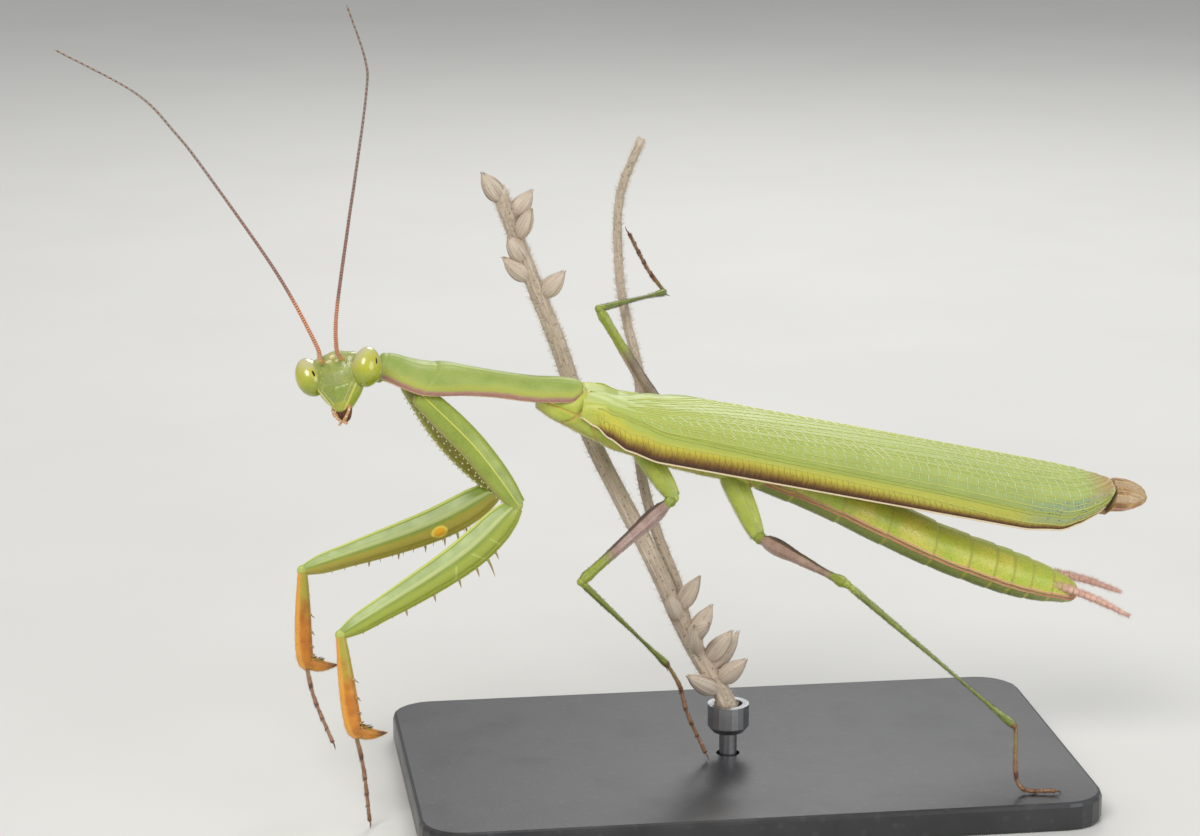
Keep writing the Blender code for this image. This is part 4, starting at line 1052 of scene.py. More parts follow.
def tegminaMaterial():
    material, tree, shader = newMaterial("tegmenGreen", {
        "Coat Weight": 0.2, "Coat Roughness": 0.32, "Subsurface Weight": 0.1,
        "Subsurface Radius": (0.5, 1.0, 0.25), "Subsurface Scale": 0.0004})
    span, chord, vein = (field(tree, name) for name in ("span", "chord", "vein"))
    mottle, flecks, height = grainOf(tree, 420.0, 5200.0, 3600.0)
    streak, _ = fibresOf(tree, chord, math2(tree, "DIVIDE", span, wing["length"]), 62.0, 0.9)
    towardTip = remap(tree, span, (6.0, 34.0))
    inward = remap(tree, chord, (1.6, 5.0))
    colour = mixColour(tree, towardTip, paint(178, 190, 80), paint(158, 174, 100))
    colour = stain(tree, colour, inward, (162, 178, 92), 0.7)
    colour = stain(tree, colour, mottle, (178, 194, 104), 0.4)
    colour = stain(tree, colour, streak, (140, 166, 84), 0.12)
    yellow = math2(tree, "SUBTRACT", band(tree, chord, 1.0, 0.35, 1.0),
                   math2(tree, "MULTIPLY", towardTip, 0.35))
    offRoot = remap(tree, span, (0.6, 2.6), (0.3, 1.0))
    colour = stain(tree, colour, math2(tree, "MULTIPLY", yellow, offRoot), (206, 198, 68))
    sheen = math2(tree, "MULTIPLY", band(tree, span, 42.0, 1.8, 3.4),
                  band(tree, chord, 1.5, 0.7, 0.7))
    colour = stain(tree, colour, sheen, (130, 160, 140), 0.5)
    colour = stain(tree, colour, math2(tree, "MULTIPLY", sheen, flecks), (66, 92, 132))
    ragged = math2(tree, "ADD", field(tree, "brown"), math2(
        tree, "MULTIPLY", math2(tree, "SUBTRACT", streak, 0.5), 0.22))
    for centre, width, blur, tint, strength in (
            (0.3, 0.45, 0.7, (158, 128, 34), 0.8), (0.1, 0.3, 0.55, (104, 62, 14), 0.95),
            (0.04, 0.12, 0.3, (54, 26, 8), 0.85)):
        colour = stain(tree, colour, band(tree, ragged, centre, width, blur), tint, strength)
    colour = stain(tree, colour, band(tree, chord, 0.0, 0.08, 0.05), (232, 214, 176))
    # tone 4, the cross-veins, is painted near white: partly the veins' own pale colour and partly
    # painted highlights, their glints where they face the light
    for tone, tint in ((1.0, (204, 210, 112)), (2.0, (176, 186, 80)), (3.0, (232, 214, 176)),
                       (4.0, (236, 238, 200)), (5.0, (178, 142, 60))):
        colour = stain(tree, colour, band(tree, vein, tone, 0.2, 0.1), tint)
    fade = math2(tree, "MULTIPLY", remap(tree, span, (42.6, 44.9)), remap(tree, chord, (1.2, 2.4)))
    colour = stain(tree, colour, fade, (176, 142, 88), 0.9)
    rough = remap(tree, mottle, given=(0.4, 0.54))
    finishSurface(tree, shader, colour, rough, height, 0.025, 0.5)
    return material


def mirrored(grid, fields):
    return grid[:, ::-1], {name: value[:, ::-1] for name, value in fields.items()}


def tegmen(name, side, layer, material):
    rows, cols = 270, 72
    grid, total = wingGrid(rows, cols, side, layer)
    span = np.linspace(0, wing["length"], rows)[:, None] + np.zeros((1, cols))
    chord = np.linspace(0, 1, cols)[None] * total[:, None]
    along, across = np.gradient(grid, axis=0), np.gradient(grid, axis=1)
    normals = unit(np.cross(along, across) * (1 if side < 0 else -1))
    ripple = wing["ripple"] * np.sin(chord * 5.5 - span * 0.5) * plateau(chord, 2.2, 12, 0.3)
    crease = wing["crease"] * hill(chord, between(wing["radius"], span) + 0.14, 0.14)
    grid = grid + normals * (ripple - crease * plateau(span, 1.5, 50, 0.5))[..., None]
    outer, inner = inTrunk(grid), inTrunk(grid - normals * wing["shell"])
    brown = (chord - 0.08) / (between(wing["brownTop"], span) - 0.08)
    brown = brown + 1.4 * np.clip(1 - (span - 0.7) / 1.8, 0, 1)
    fields = {"span": span, "chord": chord, "brown": brown, "vein": 0 * span}
    loop = np.concatenate([outer, inner[:, ::-1]], axis=1)
    fields = {key: np.concatenate([value, value[:, ::-1]], axis=1) for key, value in fields.items()}
    if side < 0:
        loop, fields = mirrored(loop, fields)
    shape = addGrid(newShape(), loop, fields, False)
    index = np.arange(rows * 2 * cols).reshape(rows, 2 * cols)
    for row, flip in ((0, side > 0), (-1, side < 0)):  # strips that close the two ends
        first, second = index[row, :cols], index[row, cols:][::-1]
        quads = np.stack([first[:-1], first[1:], second[1:], second[:-1]], axis=-1)
        shape["faces"].append(quads[:, ::-1] if flip else quads)
    surface = (outer, unit(normals @ trunkTurn.T), total)
    s = np.linspace(0.3, wing["length"] - 0.1, 420)
    subcosta, radius, media = (between(wing[key], s) for key in ("subcosta", "radius", "media"))
    slim, wide, beside = wing["mainVeins"]
    for first, line, width, tone, sides in (
            (0, 0 * s + 0.02, wing["edgeVein"], 3.0, 8), (12, subcosta, slim, 1.0, 5),
            (8, radius, wide, 2.0, 6), (14, radius + 0.26, beside, 2.0, 5)):
        addVein(shape, surface, s[first:], line[first:], width, tone, sides)
    lines = [media + fanReach(s, k) + 0.12 * np.sin(s * 0.22 + k) * (k > 0)
             for k in range(wing["fanLines"])]
    for k, line in enumerate(lines):
        inside = np.flatnonzero(s > 2.0 + (k > 0) * (wing["fanFirst"] + 0.45 * (k * 3 % 5)))[::3]
        addVein(shape, surface, s[inside], line[inside], wing["fanVeins"][k > 0], 1.0, 4)
    dice = np.random.default_rng(51 + layer)
    t = np.linspace(0, 1, 4)
    for k, (low, high) in enumerate(zip(lines, lines[1:])):
        at = 5.0 + 0.5 * (k % 2) + dice.uniform(0, 0.2)
        while at < wing["length"] - 0.9:
            run = at + wing["crossSlant"] * t * (0.6 + 0.8 * (at < 26))
            gap = np.interp(run, s, low) * (1 - t) + np.interp(run, s, high) * t
            if gap[-1] - gap[0] > 0.2:
                width = wing["crossVeins"][not 1 <= k < 5]
                addVein(shape, surface, run, gap, width, 4.0, 3)
            at += wing["crossStep"] * dice.uniform(0.8, 1.2)
    for at in np.arange(1.2, wing["length"] - 1.0, wing["costalStep"]):
        run = at + 0.7 * t
        top = np.interp(run, s, subcosta)
        addVein(shape, surface, run, top * (1 - t) + 0.22 * t, wing["costalVein"], 5.0, 3)
    makePiece(name, shape, material, ["tegmen_" + name[6:].lower()], 0)
    weight = plateau(chord, 0.12, 1.1, 0.12) * plateau(span, 0.8, 44.5, 0.3)
    if side < 0:
        outer, weight = outer[:, ::-1], weight[:, ::-1]
    hairPiece(name + "Fuzz", brownHair, "wing_green", (outer, 16000, 0.13, 0.007, 52 + layer, {
        "wrap": False, "weight": weight, "lean": 0.6}))


tip = {
    "rows": [  # station, width, upper and lower face below the wings' top line
        (3.0, 1.6, 2.05, 2.55), (7.0, 2.4, 2.05, 2.55), (33.0, 2.3, 2.05, 2.55),
        (38.45, 1.2, 2.05, 2.6), (38.6, 1.7, 0.0, 2.2), (39.6, 1.75, -0.05, 1.95),
        (40.4, 1.6, 0.05, 1.55), (41.0, 1.25, 0.2, 1.2), (41.3, 0.9, 0.35, 1.0),
        (41.5, 0.4, 0.55, 0.75)],
    "gap": 0.03, "pleats": 6, "pleatDepth": 0.045,
}


def hindWing(name, side, material):
    at = np.array([row[0] for row in tip["rows"]])
    x = np.concatenate([np.linspace(3, 37.8, 50), np.linspace(37.9, 41.5, 100)])
    wide, upper, lower = (np.interp(x, at, [row[k] for row in tip["rows"]])[:, None]
                          for k in (1, 2, 3))
    c, s = circle(72)
    y = tip["gap"] + wide / 2 * (1 + signedPower(c, 0.8))
    thick = (lower - upper) / 2
    pleat = tip["pleatDepth"] * np.cos(turn * tip["pleats"] * (y - tip["gap"]) / 2.1)
    z = (wing["top"] + wing["rise"] * x[:, None] - (upper + lower) / 2
         + thick * signedPower(s, 0.8) * (1 - 0.3 * c) + pleat * s * plateau(thick, 0.1, 9, 0.03))
    grid = inTrunk(stacked(x[:, None], side * y, z))
    fields = {"pleat": pleat / tip["pleatDepth"] * np.abs(s), "height": s * thick / 0.5}
    if side < 0:
        grid, fields = mirrored(grid, fields)
    shape = addGrid(newShape(), grid, fields)
    makePiece(name, shape, material, ["hindwing_" + name[8:].lower()], 0)


def wings():
    leaf = tegminaMaterial()
    tegmen("tegmenLeft", -1, 0, leaf)
    tegmen("tegmenRight", 1, 1, leaf)
    smoky = cuticle("hindWingBrown", {
        "ground": (196, 156, 100), "deep": (138, 98, 56),
        "marks": [("height", (182, 154, 116), 1.2, 0.4, 0.6),
                  ("pleat", (214, 188, 138), 1.0, 0.2, 0.2),
                  ("height", (216, 152, 128), -1.0, 0.22, 0.2)],
        "dots": (92, 62, 34), "dotStrength": 0.7, "roughness": (0.35, 0.55)})
    hindWing("hindWingLeft", -1, smoky)
    hindWing("hindWingRight", 1, smoky)


# Legs: each a chain of links (length, heading, pitch) from a root on the trunk.

hipDepth = 0.9  # how far a leg's root sinks into the trunk
legs = {
    "fore_left": {
        "root": (-19.25, -1.4, -0.6), "coxa": [(5.75, -14.8, -45), (5.7, -14.8, -53)],
        "femur": [(6.4, -169, -40), (11.4, -169, -28)], "tibia": [(7.1, -52, -80)],
        "claw": [(1.2, 0, -52), (1.0, 0, -15), (1.1, 0, 4)],
        "tarsus": [(4.0, -28, -77), (4.5, -55, -81)]},
    "fore_right": {
        "root": (-20.1, 1.2, -1.2), "coxa": [(5.98, 14.2, -56), (5.98, 14.2, -47)],
        "femur": [(6.4, -178, -27), (11.2, -178, -17)], "tibia": [(7.0, -92, -85)],
        "claw": [(1.2, 0, -52), (1.0, 0, -15), (1.1, 0, 4)],
        "tarsus": [(3.6, -60, -70), (4.4, -60, -50)]},
    "mid_left": {
        "root": (-0.4, -1.3, -0.4), "coxa": [(4.2, -35, -52)], "femur": [(11.5, -145, -26)],
        "tibia": [(12.9, 32, -44)], "tarsus": [(2.3, 20, -60), (2.8, 28, -72), (4.1, 17, -65)]},
    "mid_right": {
        "root": (-0.4, 1.3, -0.4), "coxa": [(4.6, 47, -5)], "femur": [(12.2, 150, 56)],
        "tibia": [(10.2, 48, -2)], "tarsus": [(3.0, -150, 50), (4.2, -140, 55)]},
    "hind_left": {
        "root": (7.3, -1.4, -0.6), "coxa": [(5.0, -50, -58)], "femur": [(12.6, -66, -4)],
        "tibia": [(19.4, 4, -42)], "tarsus": [(5.0, 0, -85), (3.0, -12, -9)]},
    "hind_right": {
        "root": (7.3, 1.4, -0.6), "coxa": [(4.6, 58, -30)], "femur": [(12.6, 25, 2)],
        "tibia": [(17.8, -175, 12)], "tarsus": [(1.6, -169, 1), (2.9, 145, 67)]},
}

limbs = {  # radius along the link, how flat across, section, rows, columns
    "fore_coxa": ([(0, 0.95), (0.2, 1.1), (0.55, 1.08), (0.85, 0.95), (1, 0.7)], 0.75, "prism",
                  150, 80),
    "fore_femur": ([(0, 0.62), (0.05, 0.92), (0.16, 1.26), (0.3, 1.4), (0.58, 1.32),
                    (0.83, 0.98), (0.95, 0.72), (1, 0.4)], 0.52, "blade", 220, 92),
    "fore_tibia": ([(0, 0.36), (0.08, 0.56), (0.45, 0.56), (0.68, 0.42), (0.85, 0.24), (1, 0.04)],
                   0.75, "oval", 180, 64),
    "mid_coxa": ([(0, 1.0), (0.3, 0.93), (0.85, 0.7), (1, 0.55)], 0.9, "prism", 90, 72),
    "mid_femur": ([(0, 0.36), (0.04, 0.5), (0.07, 0.4), (0.12, 0.53), (0.5, 0.5), (0.86, 0.4),
                   (0.95, 0.43), (1, 0.26)], 0.9, "ribbed", 160, 56),
    "mid_tibia": ([(0, 0.2), (0.04, 0.27), (0.1, 0.27), (0.9, 0.23), (0.97, 0.3), (1, 0.22)], 1.0,
                  "ribbed", 150, 40),
    "hind_coxa": ([(0, 1.1), (0.3, 1.0), (0.85, 0.74), (1, 0.58)], 0.9, "prism", 90, 72),
    "hind_femur": ([(0, 0.36), (0.04, 0.52), (0.07, 0.42), (0.12, 0.56), (0.5, 0.46),
                    (0.86, 0.33), (0.95, 0.44), (1, 0.26)], 0.9, "ribbed", 160, 56),
    "hind_tibia": ([(0, 0.2), (0.03, 0.27), (0.1, 0.27), (0.9, 0.23), (0.97, 0.31), (1, 0.22)],
                   1.0, "ribbed", 190, 40),
}

spineRows = {
    # fraction of the link, length
    "large": [(0.33, 0.8), (0.39, 1.7), (0.46, 0.9), (0.55, 0.8), (0.66, 0.7), (0.77, 0.6)],
    # first and last fraction, number, length
    "inner": (0.3, 0.9, 15, 0.38), "outer": (0.5, 0.93, 9, 0.3), "tibia": (0.12, 0.62, 11, 0.5),
    "radius": 0.12, "slim": 0.055,
}

# the round mark inside the femur: its place along the leg and up the section, its half sizes
femurSpot = {"along": 0.47, "up": -0.42, "legLength": 17.8, "size": (0.62, 0.3)}

coxaBeads = {
    "inner": [(-0.74, 0.12, 0), (-0.36, 0.09, 5)],  # place up the section, size, shift along
    "edges": [(0.12, -1.04, 0.06, 1.0), (0.0, 1.05, 0.04, 0.6)],  # aside, up, size, paleness
}


def section(kind, a, c, s):
    if kind == "blade":
        keel = hill(c, 0, 0.14)
        up = s * (1 + 0.05 * keel)
        out = signedPower(c, 0.86) * (1 - 0.3 * s ** 4)
        out = out + np.sign(c) * (0.09 * hill(s, 0.36, 0.15) - 0.06 * hill(s, 0.74, 0.12)
                                  - 0.05 * hill(s, -0.05, 0.12) - 0.08 * hill(s, -0.7, 0.1))
        return out * plateau(np.abs(c), 0.0, 9, 0.01), up
    if kind == "prism":
        reach = 1 + 0.09 * np.cos(3 * (a - math.pi / 2)) + 0.05 * hill(s, 0.22, 0.09)
        return c * reach, s * reach
    if kind == "ribbed":
        reach = 1 + 0.05 * np.cos(6 * a)
        return c * reach, s * reach
    reach = 1 + 0.05 * hill(c, 0, 0.15)
    return c * reach, s * reach


def limb(kind, points, before=0.0):
    table, flat, shapeName, rows, cols = limbs[kind]
    path = smoothPath(points, rows)
    ahead = unit(path[1] - path[0])
    run = path[-1] - path[0]
    hint = (0.0, 1.0 if run[0] > 0.5 * run[2] else -1.0, 0.0)
    extra = 10 if before else 0
    if before:
        back = np.linspace(1, 0, extra, endpoint=False)[:, None]
        path = np.vstack([path[0] - ahead * before * back, path])
    t = np.concatenate([np.zeros(extra), np.linspace(0, 1, rows + 1)])[:, None]
    radii = flow(table, t)
    if before:
        radii[:8] *= np.sqrt(1 - (1 - np.arange(0.5, 8.5) / 8) ** 2)[:, None]
    c, s = circle(cols)
    across, upward = section(shapeName, ring(cols), c, s)
    along, sides, ups = frames(path, hint)
    return SimpleNamespace(
        grid=sweep(path, across * radii * flat, upward * radii, hint), path=path, t=t,
        radii=radii, along=along, sides=sides, ups=ups, flip=hint[1], c=c, s=s)


def blobs(shape, link, places, side, up, size, fields):  # a row of small beads
    for row in np.asarray(places, int):
        out = unit(link.sides[row] * side + link.ups[row] * up)
        centre = link.path[row] + out * link.radii[row, 0] * math.hypot(side, up)
        addBall(shape, centre, (size, size, size), fields, rows=6, cols=8)


def spineLine(shape, link, row, way, offset, lean, seed):
    first, last, count, length = row
    dice = np.random.default_rng(seed)
    at = (np.linspace(first, last, count) * (len(link.path) - 1)).astype(int)
    out = unit(link.ups[at] * way + link.sides[at] * offset)
    roots = link.path[at] + out * (link.radii[at] * 0.85)
    sizes = length * dice.uniform(0.7, 1.25, count)
    addSpines(shape, roots, out + link.along[at] * lean, sizes,
              np.full(count, spineRows["slim"]), link.along[at] * 0.15)


def foreLeg(side):
    data = legs["fore_" + side]
    name = "foreleg" + side.capitalize()
    away = -1 if side == "left" else 1  # which way the outer face looks
    hips = chain(inTrunk(data["root"]), data["coxa"])
    link = limb("fore_coxa", hips, hipDepth)
    sign = away * link.flip
    last = len(link.path)
    shape = addGrid(newShape(), link.grid, {
        "up": link.s, "inner": -sign * link.c,
        "ridge": hill(link.s, 0.22, 0.05) * (sign * link.c > 0)})
    for up, size, shift in coxaBeads["inner"]:
        aside = -sign * 0.75 * math.sqrt(1 - up * up) * 1.08
        blobs(shape, link, np.linspace(22, last - 20, 13).astype(int) + shift, aside, up * 1.08,
              size, {"bead": 1.0})
    for aside, up, size, tone in coxaBeads["edges"]:
        blobs(shape, link, np.linspace(16, last - 14, 20), sign * aside, up, size, {"bead": tone})
    addBall(shape, hips[-1] + (0, 0, 0.05), (0.52, 0.44, 0.56), {"knob": 1.0})
    material = cuticle(name + "Coxa", {
        "ground": (154, 168, 64), "deep": (136, 154, 54), "grain": 7000.0,
        "marks": [("inner", (132, 124, 34), 0.8, 0.45, 0.35),
                  ("up", (158, 160, 52), -1.0, 0.3, 0.25),
                  ("ridge", (206, 204, 86), 1.0, 0.4, 0.3),
                  ("knob", (186, 192, 96), 1.0, 0.3, 0.2),
                  ("bead", (238, 234, 184), 1.0, 0.3, 0.2)],
        "dots": (176, 188, 90), "dotStrength": 0.25, "roughness": (0.3, 0.44)})
    makePiece(name + "Coxa", shape, material, ["fore_coxa_" + side])
    coxaHairs = (link.grid, 2200, 0.16, 0.007, 61, {})

    knee = chain(hips[-1], data["femur"])
    link = limb("fore_femur", knee)
    sign = away * link.flip
    t, s, inner = link.t, link.s, -sign * link.c
    length, height = femurSpot["size"]
    spotAlong = (t - femurSpot["along"]) * femurSpot["legLength"] / length
    spotUp = (s - femurSpot["up"]) / height
    spot = np.exp(-(spotAlong ** 2 + spotUp ** 2) ** 2) * (inner > 0)
    rib = np.zeros_like(spot)
    for place, slant in ((0.44, 0.05), (0.53, -0.04), (0.3, 0.03)):
        rib = np.maximum(rib, hill(t, place + slant * s, 0.006) * plateau(s, -0.85, -0.05, 0.05))
    shape = addGrid(newShape(), link.grid, {
        "up": s, "spot": spot, "rib": rib * (inner < 0),
        "satin": hill(s, 0.34, 0.13) * plateau(t, 0.03, 0.97, 0.03),
        "lowInner": plateau(-s, 0.0, 2, 0.06) * (inner > 0.1),
        "edgeTop": hill(s, 1.0, 0.05), "edgeLow": hill(s, -1.0, 0.04)})
    for place, length in spineRows["large"]:
        row = int(place * (len(link.path) - 1))
        along, up = link.along[row], link.ups[row]
        root = link.path[row] - up * link.radii[row] * 0.9 + link.sides[row] * sign * 0.12
        addSpines(shape, [root], [-up + along * 0.18], [length], [spineRows["radius"]],
                  [along * 0.12], sides=8, rows=8)
    spineLine(shape, link, spineRows["inner"], -1.0, -sign * 0.22, 0.2, 62)
    spineLine(shape, link, spineRows["outer"], -1.0, sign * 0.2, 0.2, 63)
    blobs(shape, link, np.linspace(20, len(link.path) - 20, 26), 0.0, 1.01, 0.03, {"edgeTop": 1.0})
    addBall(shape, knee[-1], (0.46, 0.32, 0.46), {"edgeTop": 0.4})
    addBall(shape, knee[0], (0.5, 0.42, 0.5), {"edgeTop": 0.4})
    material = cuticle(name + "Femur", {
        "ground": (148, 168, 66), "deep": (128, 152, 56), "cloud": 700.0, "grain": 6000.0,
        "marks": [("up", (162, 174, 66), -0.5, 0.3, 0.5),
                  ("lowInner", (172, 160, 62), 1.0, 0.3, 0.4),
                  # painted highlight: the pale band along the upper outer face is the gloss on its
                  # ridge, painted into the colour
                  ("satin", (190, 200, 132), 1.0, 0.2, 0.7),
                  ("rib", (182, 196, 96), 1.0, 0.4, 0.4),
                  # the pale top edge is partly the keel's own colour and partly a painted highlight
                  # along it
                  ("edgeTop", (206, 212, 112), 1.0, 0.45, 0.3),
                  ("edgeLow", (216, 212, 84), 1.0, 0.6, 0.3),
                  ("spot", (240, 214, 90), 0.5, 0.3, 0.2),
                  ("spot", (248, 184, 24), 1.0, 0.3, 0.2),
                  ("tip", (160, 132, 92), 1.0, 0.55, 0.4)],
        "dots": (178, 190, 96), "dotStrength": 0.25, "roughness": (0.3, 0.44),
        "finish": {"Coat Roughness": 0.24}})
    makePiece(name + "Femur", shape, material, ["fore_femur_" + side])
    hairPiece(name + "Hairs", paleHair, "foreleg_green", coxaHairs,
              (link.grid, 1800, 0.13, 0.006, 64, {"weight": plateau(-s, 0.5, 2, 0.1) + 0.15}))

    ankle = chain(knee[-1], data["tibia"])[-1]
    link = limb("fore_tibia", [knee[-1], *chain(ankle, data["claw"])])
    shape = addGrid(newShape(), link.grid, {
        "t": link.t, "up": link.s, "tip": np.clip((link.t - 0.7) / 0.3, 0, 1)})
    for offset, seed in ((0.45, 65), (-0.45, 66)):
        spineLine(shape, link, spineRows["tibia"], 1.0, offset, 0.5, seed)
    material = cuticle(name + "Tibia", {
        "ground": (216, 138, 32), "deep": (184, 104, 24),
        "marks": [("t", (176, 168, 60), 0.0, 0.04, 0.12), ("up", (236, 168, 62), -1.0, 0.3, 0.5),
                  ("tip", (74, 34, 14), 1.0, 0.35, 0.5)],
        "dots": (146, 84, 24), "dotStrength": 0.4, "roughness": (0.3, 0.46)})
    makePiece(name + "Tibia", shape, material, ["fore_tibia_" + side])
    hairPiece(name + "Bristles", goldHair, "claw_orange",
              (link.grid, 2600, 0.24, 0.009, 67, {
                  "lean": 0.55, "weight": 1 - 0.9 * plateau(link.t, 0.8, 2, 0.05)}))
    foot(name + "Foot", chain(ankle, data["tarsus"]), "fore_tarsus_" + side)


feet = {"joints": [0, 0.42, 0.62, 0.76, 0.86, 1.0], "slim": 0.125, "wide": 0.2,
        "clawLength": 0.62, "clawRadius": 0.07}


def foot(name, points, node):
    path = smoothPath(points, 200)
    t = np.linspace(0, 1, 201)
    edges = np.array(feet["joints"])
    k = np.clip(np.searchsorted(edges, t, side="right") - 1, 0, 4)
    part = (t - edges[k]) / (edges[k + 1] - edges[k])
    radii = feet["slim"] + (feet["wide"] - feet["slim"]) * part ** 1.6
    radii = radii * (1 - 0.35 * hill(part, 1.0, 0.05)) * (1 - 0.12 * t)
    radii[-3:] *= (0.9, 0.7, 0.4)
    grid = roundBar(path, radii, 20)
    shape = addGrid(newShape(), grid, {"part": part[:, None], "t": t[:, None], "tip": 0.0})
    along, sides, ups = frames(path, (0, 1, 0))
    end = path[-2]
    for side in (-1, 1):
        addSpines(shape, [end], [along[-2] * 0.5 + sides[-2] * side * 0.55 + ups[-2] * 0.25],
                  [feet["clawLength"]], [feet["clawRadius"]],
                  [along[-2] * 0.25 - ups[-2] * 0.4], sides=8, rows=9, fields={"t": 1.0})
    for edge in edges[1:5]:
        row = int(edge * 200) - 2
        for side in (-1, 1):
            addSpines(shape, [path[row] - ups[row] * 0.08],
                      [-ups[row] + sides[row] * side * 0.7 + along[row]], [0.24], [0.045],
                      fields={"t": 1.0})
    material = cuticle(name, {
        "ground": (178, 132, 100), "deep": (142, 100, 72), "cloud": 1800.0,
        "marks": [("t", (160, 138, 84), 0.0, 0.1, 0.25), ("part", (104, 66, 46), 1.0, 0.1, 0.12),
                  ("tip", (90, 46, 20), 1.0, 0.5, 0.4)],
        "roughness": (0.4, 0.56)})
    makePiece(name, shape, material, [node])
    hairPiece(name + "Hairs", brownHair, "tarsus_brown",
              (grid, 1300, 0.2, 0.007, 71, {"lean": 0.6}))


walking = {
    "looks": {  # the femur's two colours, and how far green runs up from its knee
        "mid_left": ((182, 156, 146), (160, 130, 120), 0.2),
        "mid_right": ((146, 130, 108), (122, 104, 86), 0.3),
        "hind_left": ((186, 156, 140), (162, 130, 114), 0.09),
        "hind_right": ((180, 152, 138), (156, 126, 112), 0.1)},
    # a link's knob; its spines: row, root aside and up, way aside and up, length, radius, sides
    "knobs": {"coxa": (0.46, 0.42, 0.46), "femur": (0.34, 0.34, 0.34)},
    "spines": {"femur": (-6, 0.24, 0.0, 0.3, 0.0, 0.42, 0.1, 8),
               "tibia": (-4, 0.0, -0.1, 0.55, -0.4, 0.7, 0.075, 6)},
}


def walkingLooks(ground, deep, kneeGreen):
    return {
        "coxa": {
            "ground": (174, 184, 66), "deep": (156, 168, 56), "grain": 7000.0,
            "marks": [("up", (190, 198, 92), 1.0, 0.12, 0.2),
                      ("up", (178, 188, 76), -1.0, 0.1, 0.2),
                      ("knob", (182, 192, 84), 1.0, 0.3, 0.2),
                      ("t", (150, 170, 70), 1.0, 0.02, 0.08)],
            "dots": (190, 200, 110), "dotStrength": 0.25},
        "femur": {
            "ground": ground, "deep": deep, "cloud": 800.0, "grain": 7000.0,
            "marks": [("up", (186, 162, 150), -0.9, 0.15, 0.25),
                      ("up", (96, 76, 66), 0.95, 0.08, 0.14),
                      ("t", (150, 164, 62), 0.0, 0.075, 0.03),
                      ("t", (150, 162, 62), 1.0, kneeGreen, 0.14)],
            "dots": (84, 62, 54), "dotStrength": 0.45, "roughness": (0.36, 0.5)},
        "tibia": {
            "ground": (138, 150, 62), "deep": (114, 128, 48),
            "marks": [("up", (166, 180, 86), 1.0, 0.12, 0.25),
                      ("t", (166, 176, 70), 0.0, 0.02, 0.03),
                      ("t", (134, 96, 56), 1.0, 0.015, 0.03),
                      ("tip", (96, 54, 24), 1.0, 0.5, 0.4)],
            "dots": (74, 84, 34), "roughness": (0.34, 0.48)}}


def walkingLeg(pair, side):
    key = "%s_%s" % (pair, side)
    name = pair + "leg" + side.capitalize()
    looks = walkingLooks(*walking["looks"][key])
    joint = inTrunk(legs[key]["root"])
    for kind, before, slot, hair, batch in (
            ("coxa", hipDepth, "coxa_green", paleHair, (1600, 0.2, 0.007, 72, {})),
            ("femur", 0.0, "femur_mauve", darkHair, (1500, 0.16, 0.008, 73, {"lean": 0.6})),
            ("tibia", 0.0, "tibia_green", darkHair,
             (2300 if pair == "hind" else 1500, 0.2, 0.008, 74, {"lean": 0.55}))):
        joints = chain(joint, legs[key][kind])
        joint = joints[-1]
        link = limb("%s_%s" % (pair, kind), joints, before)
        shape = addGrid(newShape(), link.grid, {"up": link.s, "t": link.t, "tip": 0.0})
        if kind in walking["spines"]:
            row, aside, over, wayAside, wayUp, length, radius, count = walking["spines"][kind]
            along, across, up = link.along[row], link.sides[row], link.ups[row]
            for way in (-1, 1):
                addSpines(shape, [link.path[row] + across * way * aside + up * over],
                          [along + across * way * wayAside + up * wayUp],
                          [length], [radius], sides=count, fields={"t": 1.0, "up": 0.0})
        if kind in walking["knobs"]:
            addBall(shape, joint, walking["knobs"][kind],
                    {"knob": 1.0} if kind == "coxa" else {"t": 1.0, "up": 0.0})
        part = name + kind.capitalize()
        makePiece(part, shape, cuticle(part, looks[kind]), ["%s_%s_%s" % (pair, kind, side)])
        hairPiece(part + "Hairs", hair, slot, (link.grid, *batch))
    foot(name + "Foot", chain(joint, legs[key]["tarsus"]), "%s_tarsus_%s" % (pair, side))


# Perch.

perch = {
    "stem": {"foot": (-0.8, -0.65, 5.0), "radius": 0.85, "taper": 0.2, "ribs": 9,
             "links": [(2.1, 175, 82), (6.0, 164, 60), (7.9, 150, 63), (10.8, 152, 61),
                       (8.0, 155, 70), (5.9, 169, 69), (8.5, 172, 70)]},
    "twig": {"foot": (-4.0, 1.0, 12.9), "radius": 0.495, "taper": 0.27, "ribs": 6,
             "links": [(3.9, 128, 71), (5.2, 140, 65), (5.5, 119, 68), (7.3, 83, 63),
                       (5.1, 102, 55), (4.5, 101, 63), (6.3, 81, 76), (5.4, 24, 66)]},
    "husks": [  # height on the stem, heading, pitch, length
        (7.7, 212, 30, 4.2), (9.4, 20, 48, 4.0), (11.0, 250, 55, 3.6), (12.6, 292, 30, 3.6),
        (14.5, 330, 58, 3.6), (42.0, 190, 40, 3.2), (45.5, 300, 55, 3.2), (48.6, 205, 52, 3.2),
        (8.5, 328, 42, 3.4), (10.2, 345, 50, 3.5), (12.2, 8, 56, 3.2), (13.8, 228, 52, 3.2),
        (40.6, 340, 48, 2.9), (43.6, 215, 50, 2.9), (47.2, 10, 50, 2.8)],
    "huskRadii": (0.62, 0.85), "huskShell": 0.05,
    # a husk's three scales: turn about its axis, size, how far round it reaches, how far it opens
    "huskScales": [(0.3, 1.0, 1.75, 0.0), (3.4, 0.93, 1.7, 0.05), (1.9, 0.8, 1.3, 0.16)],
}


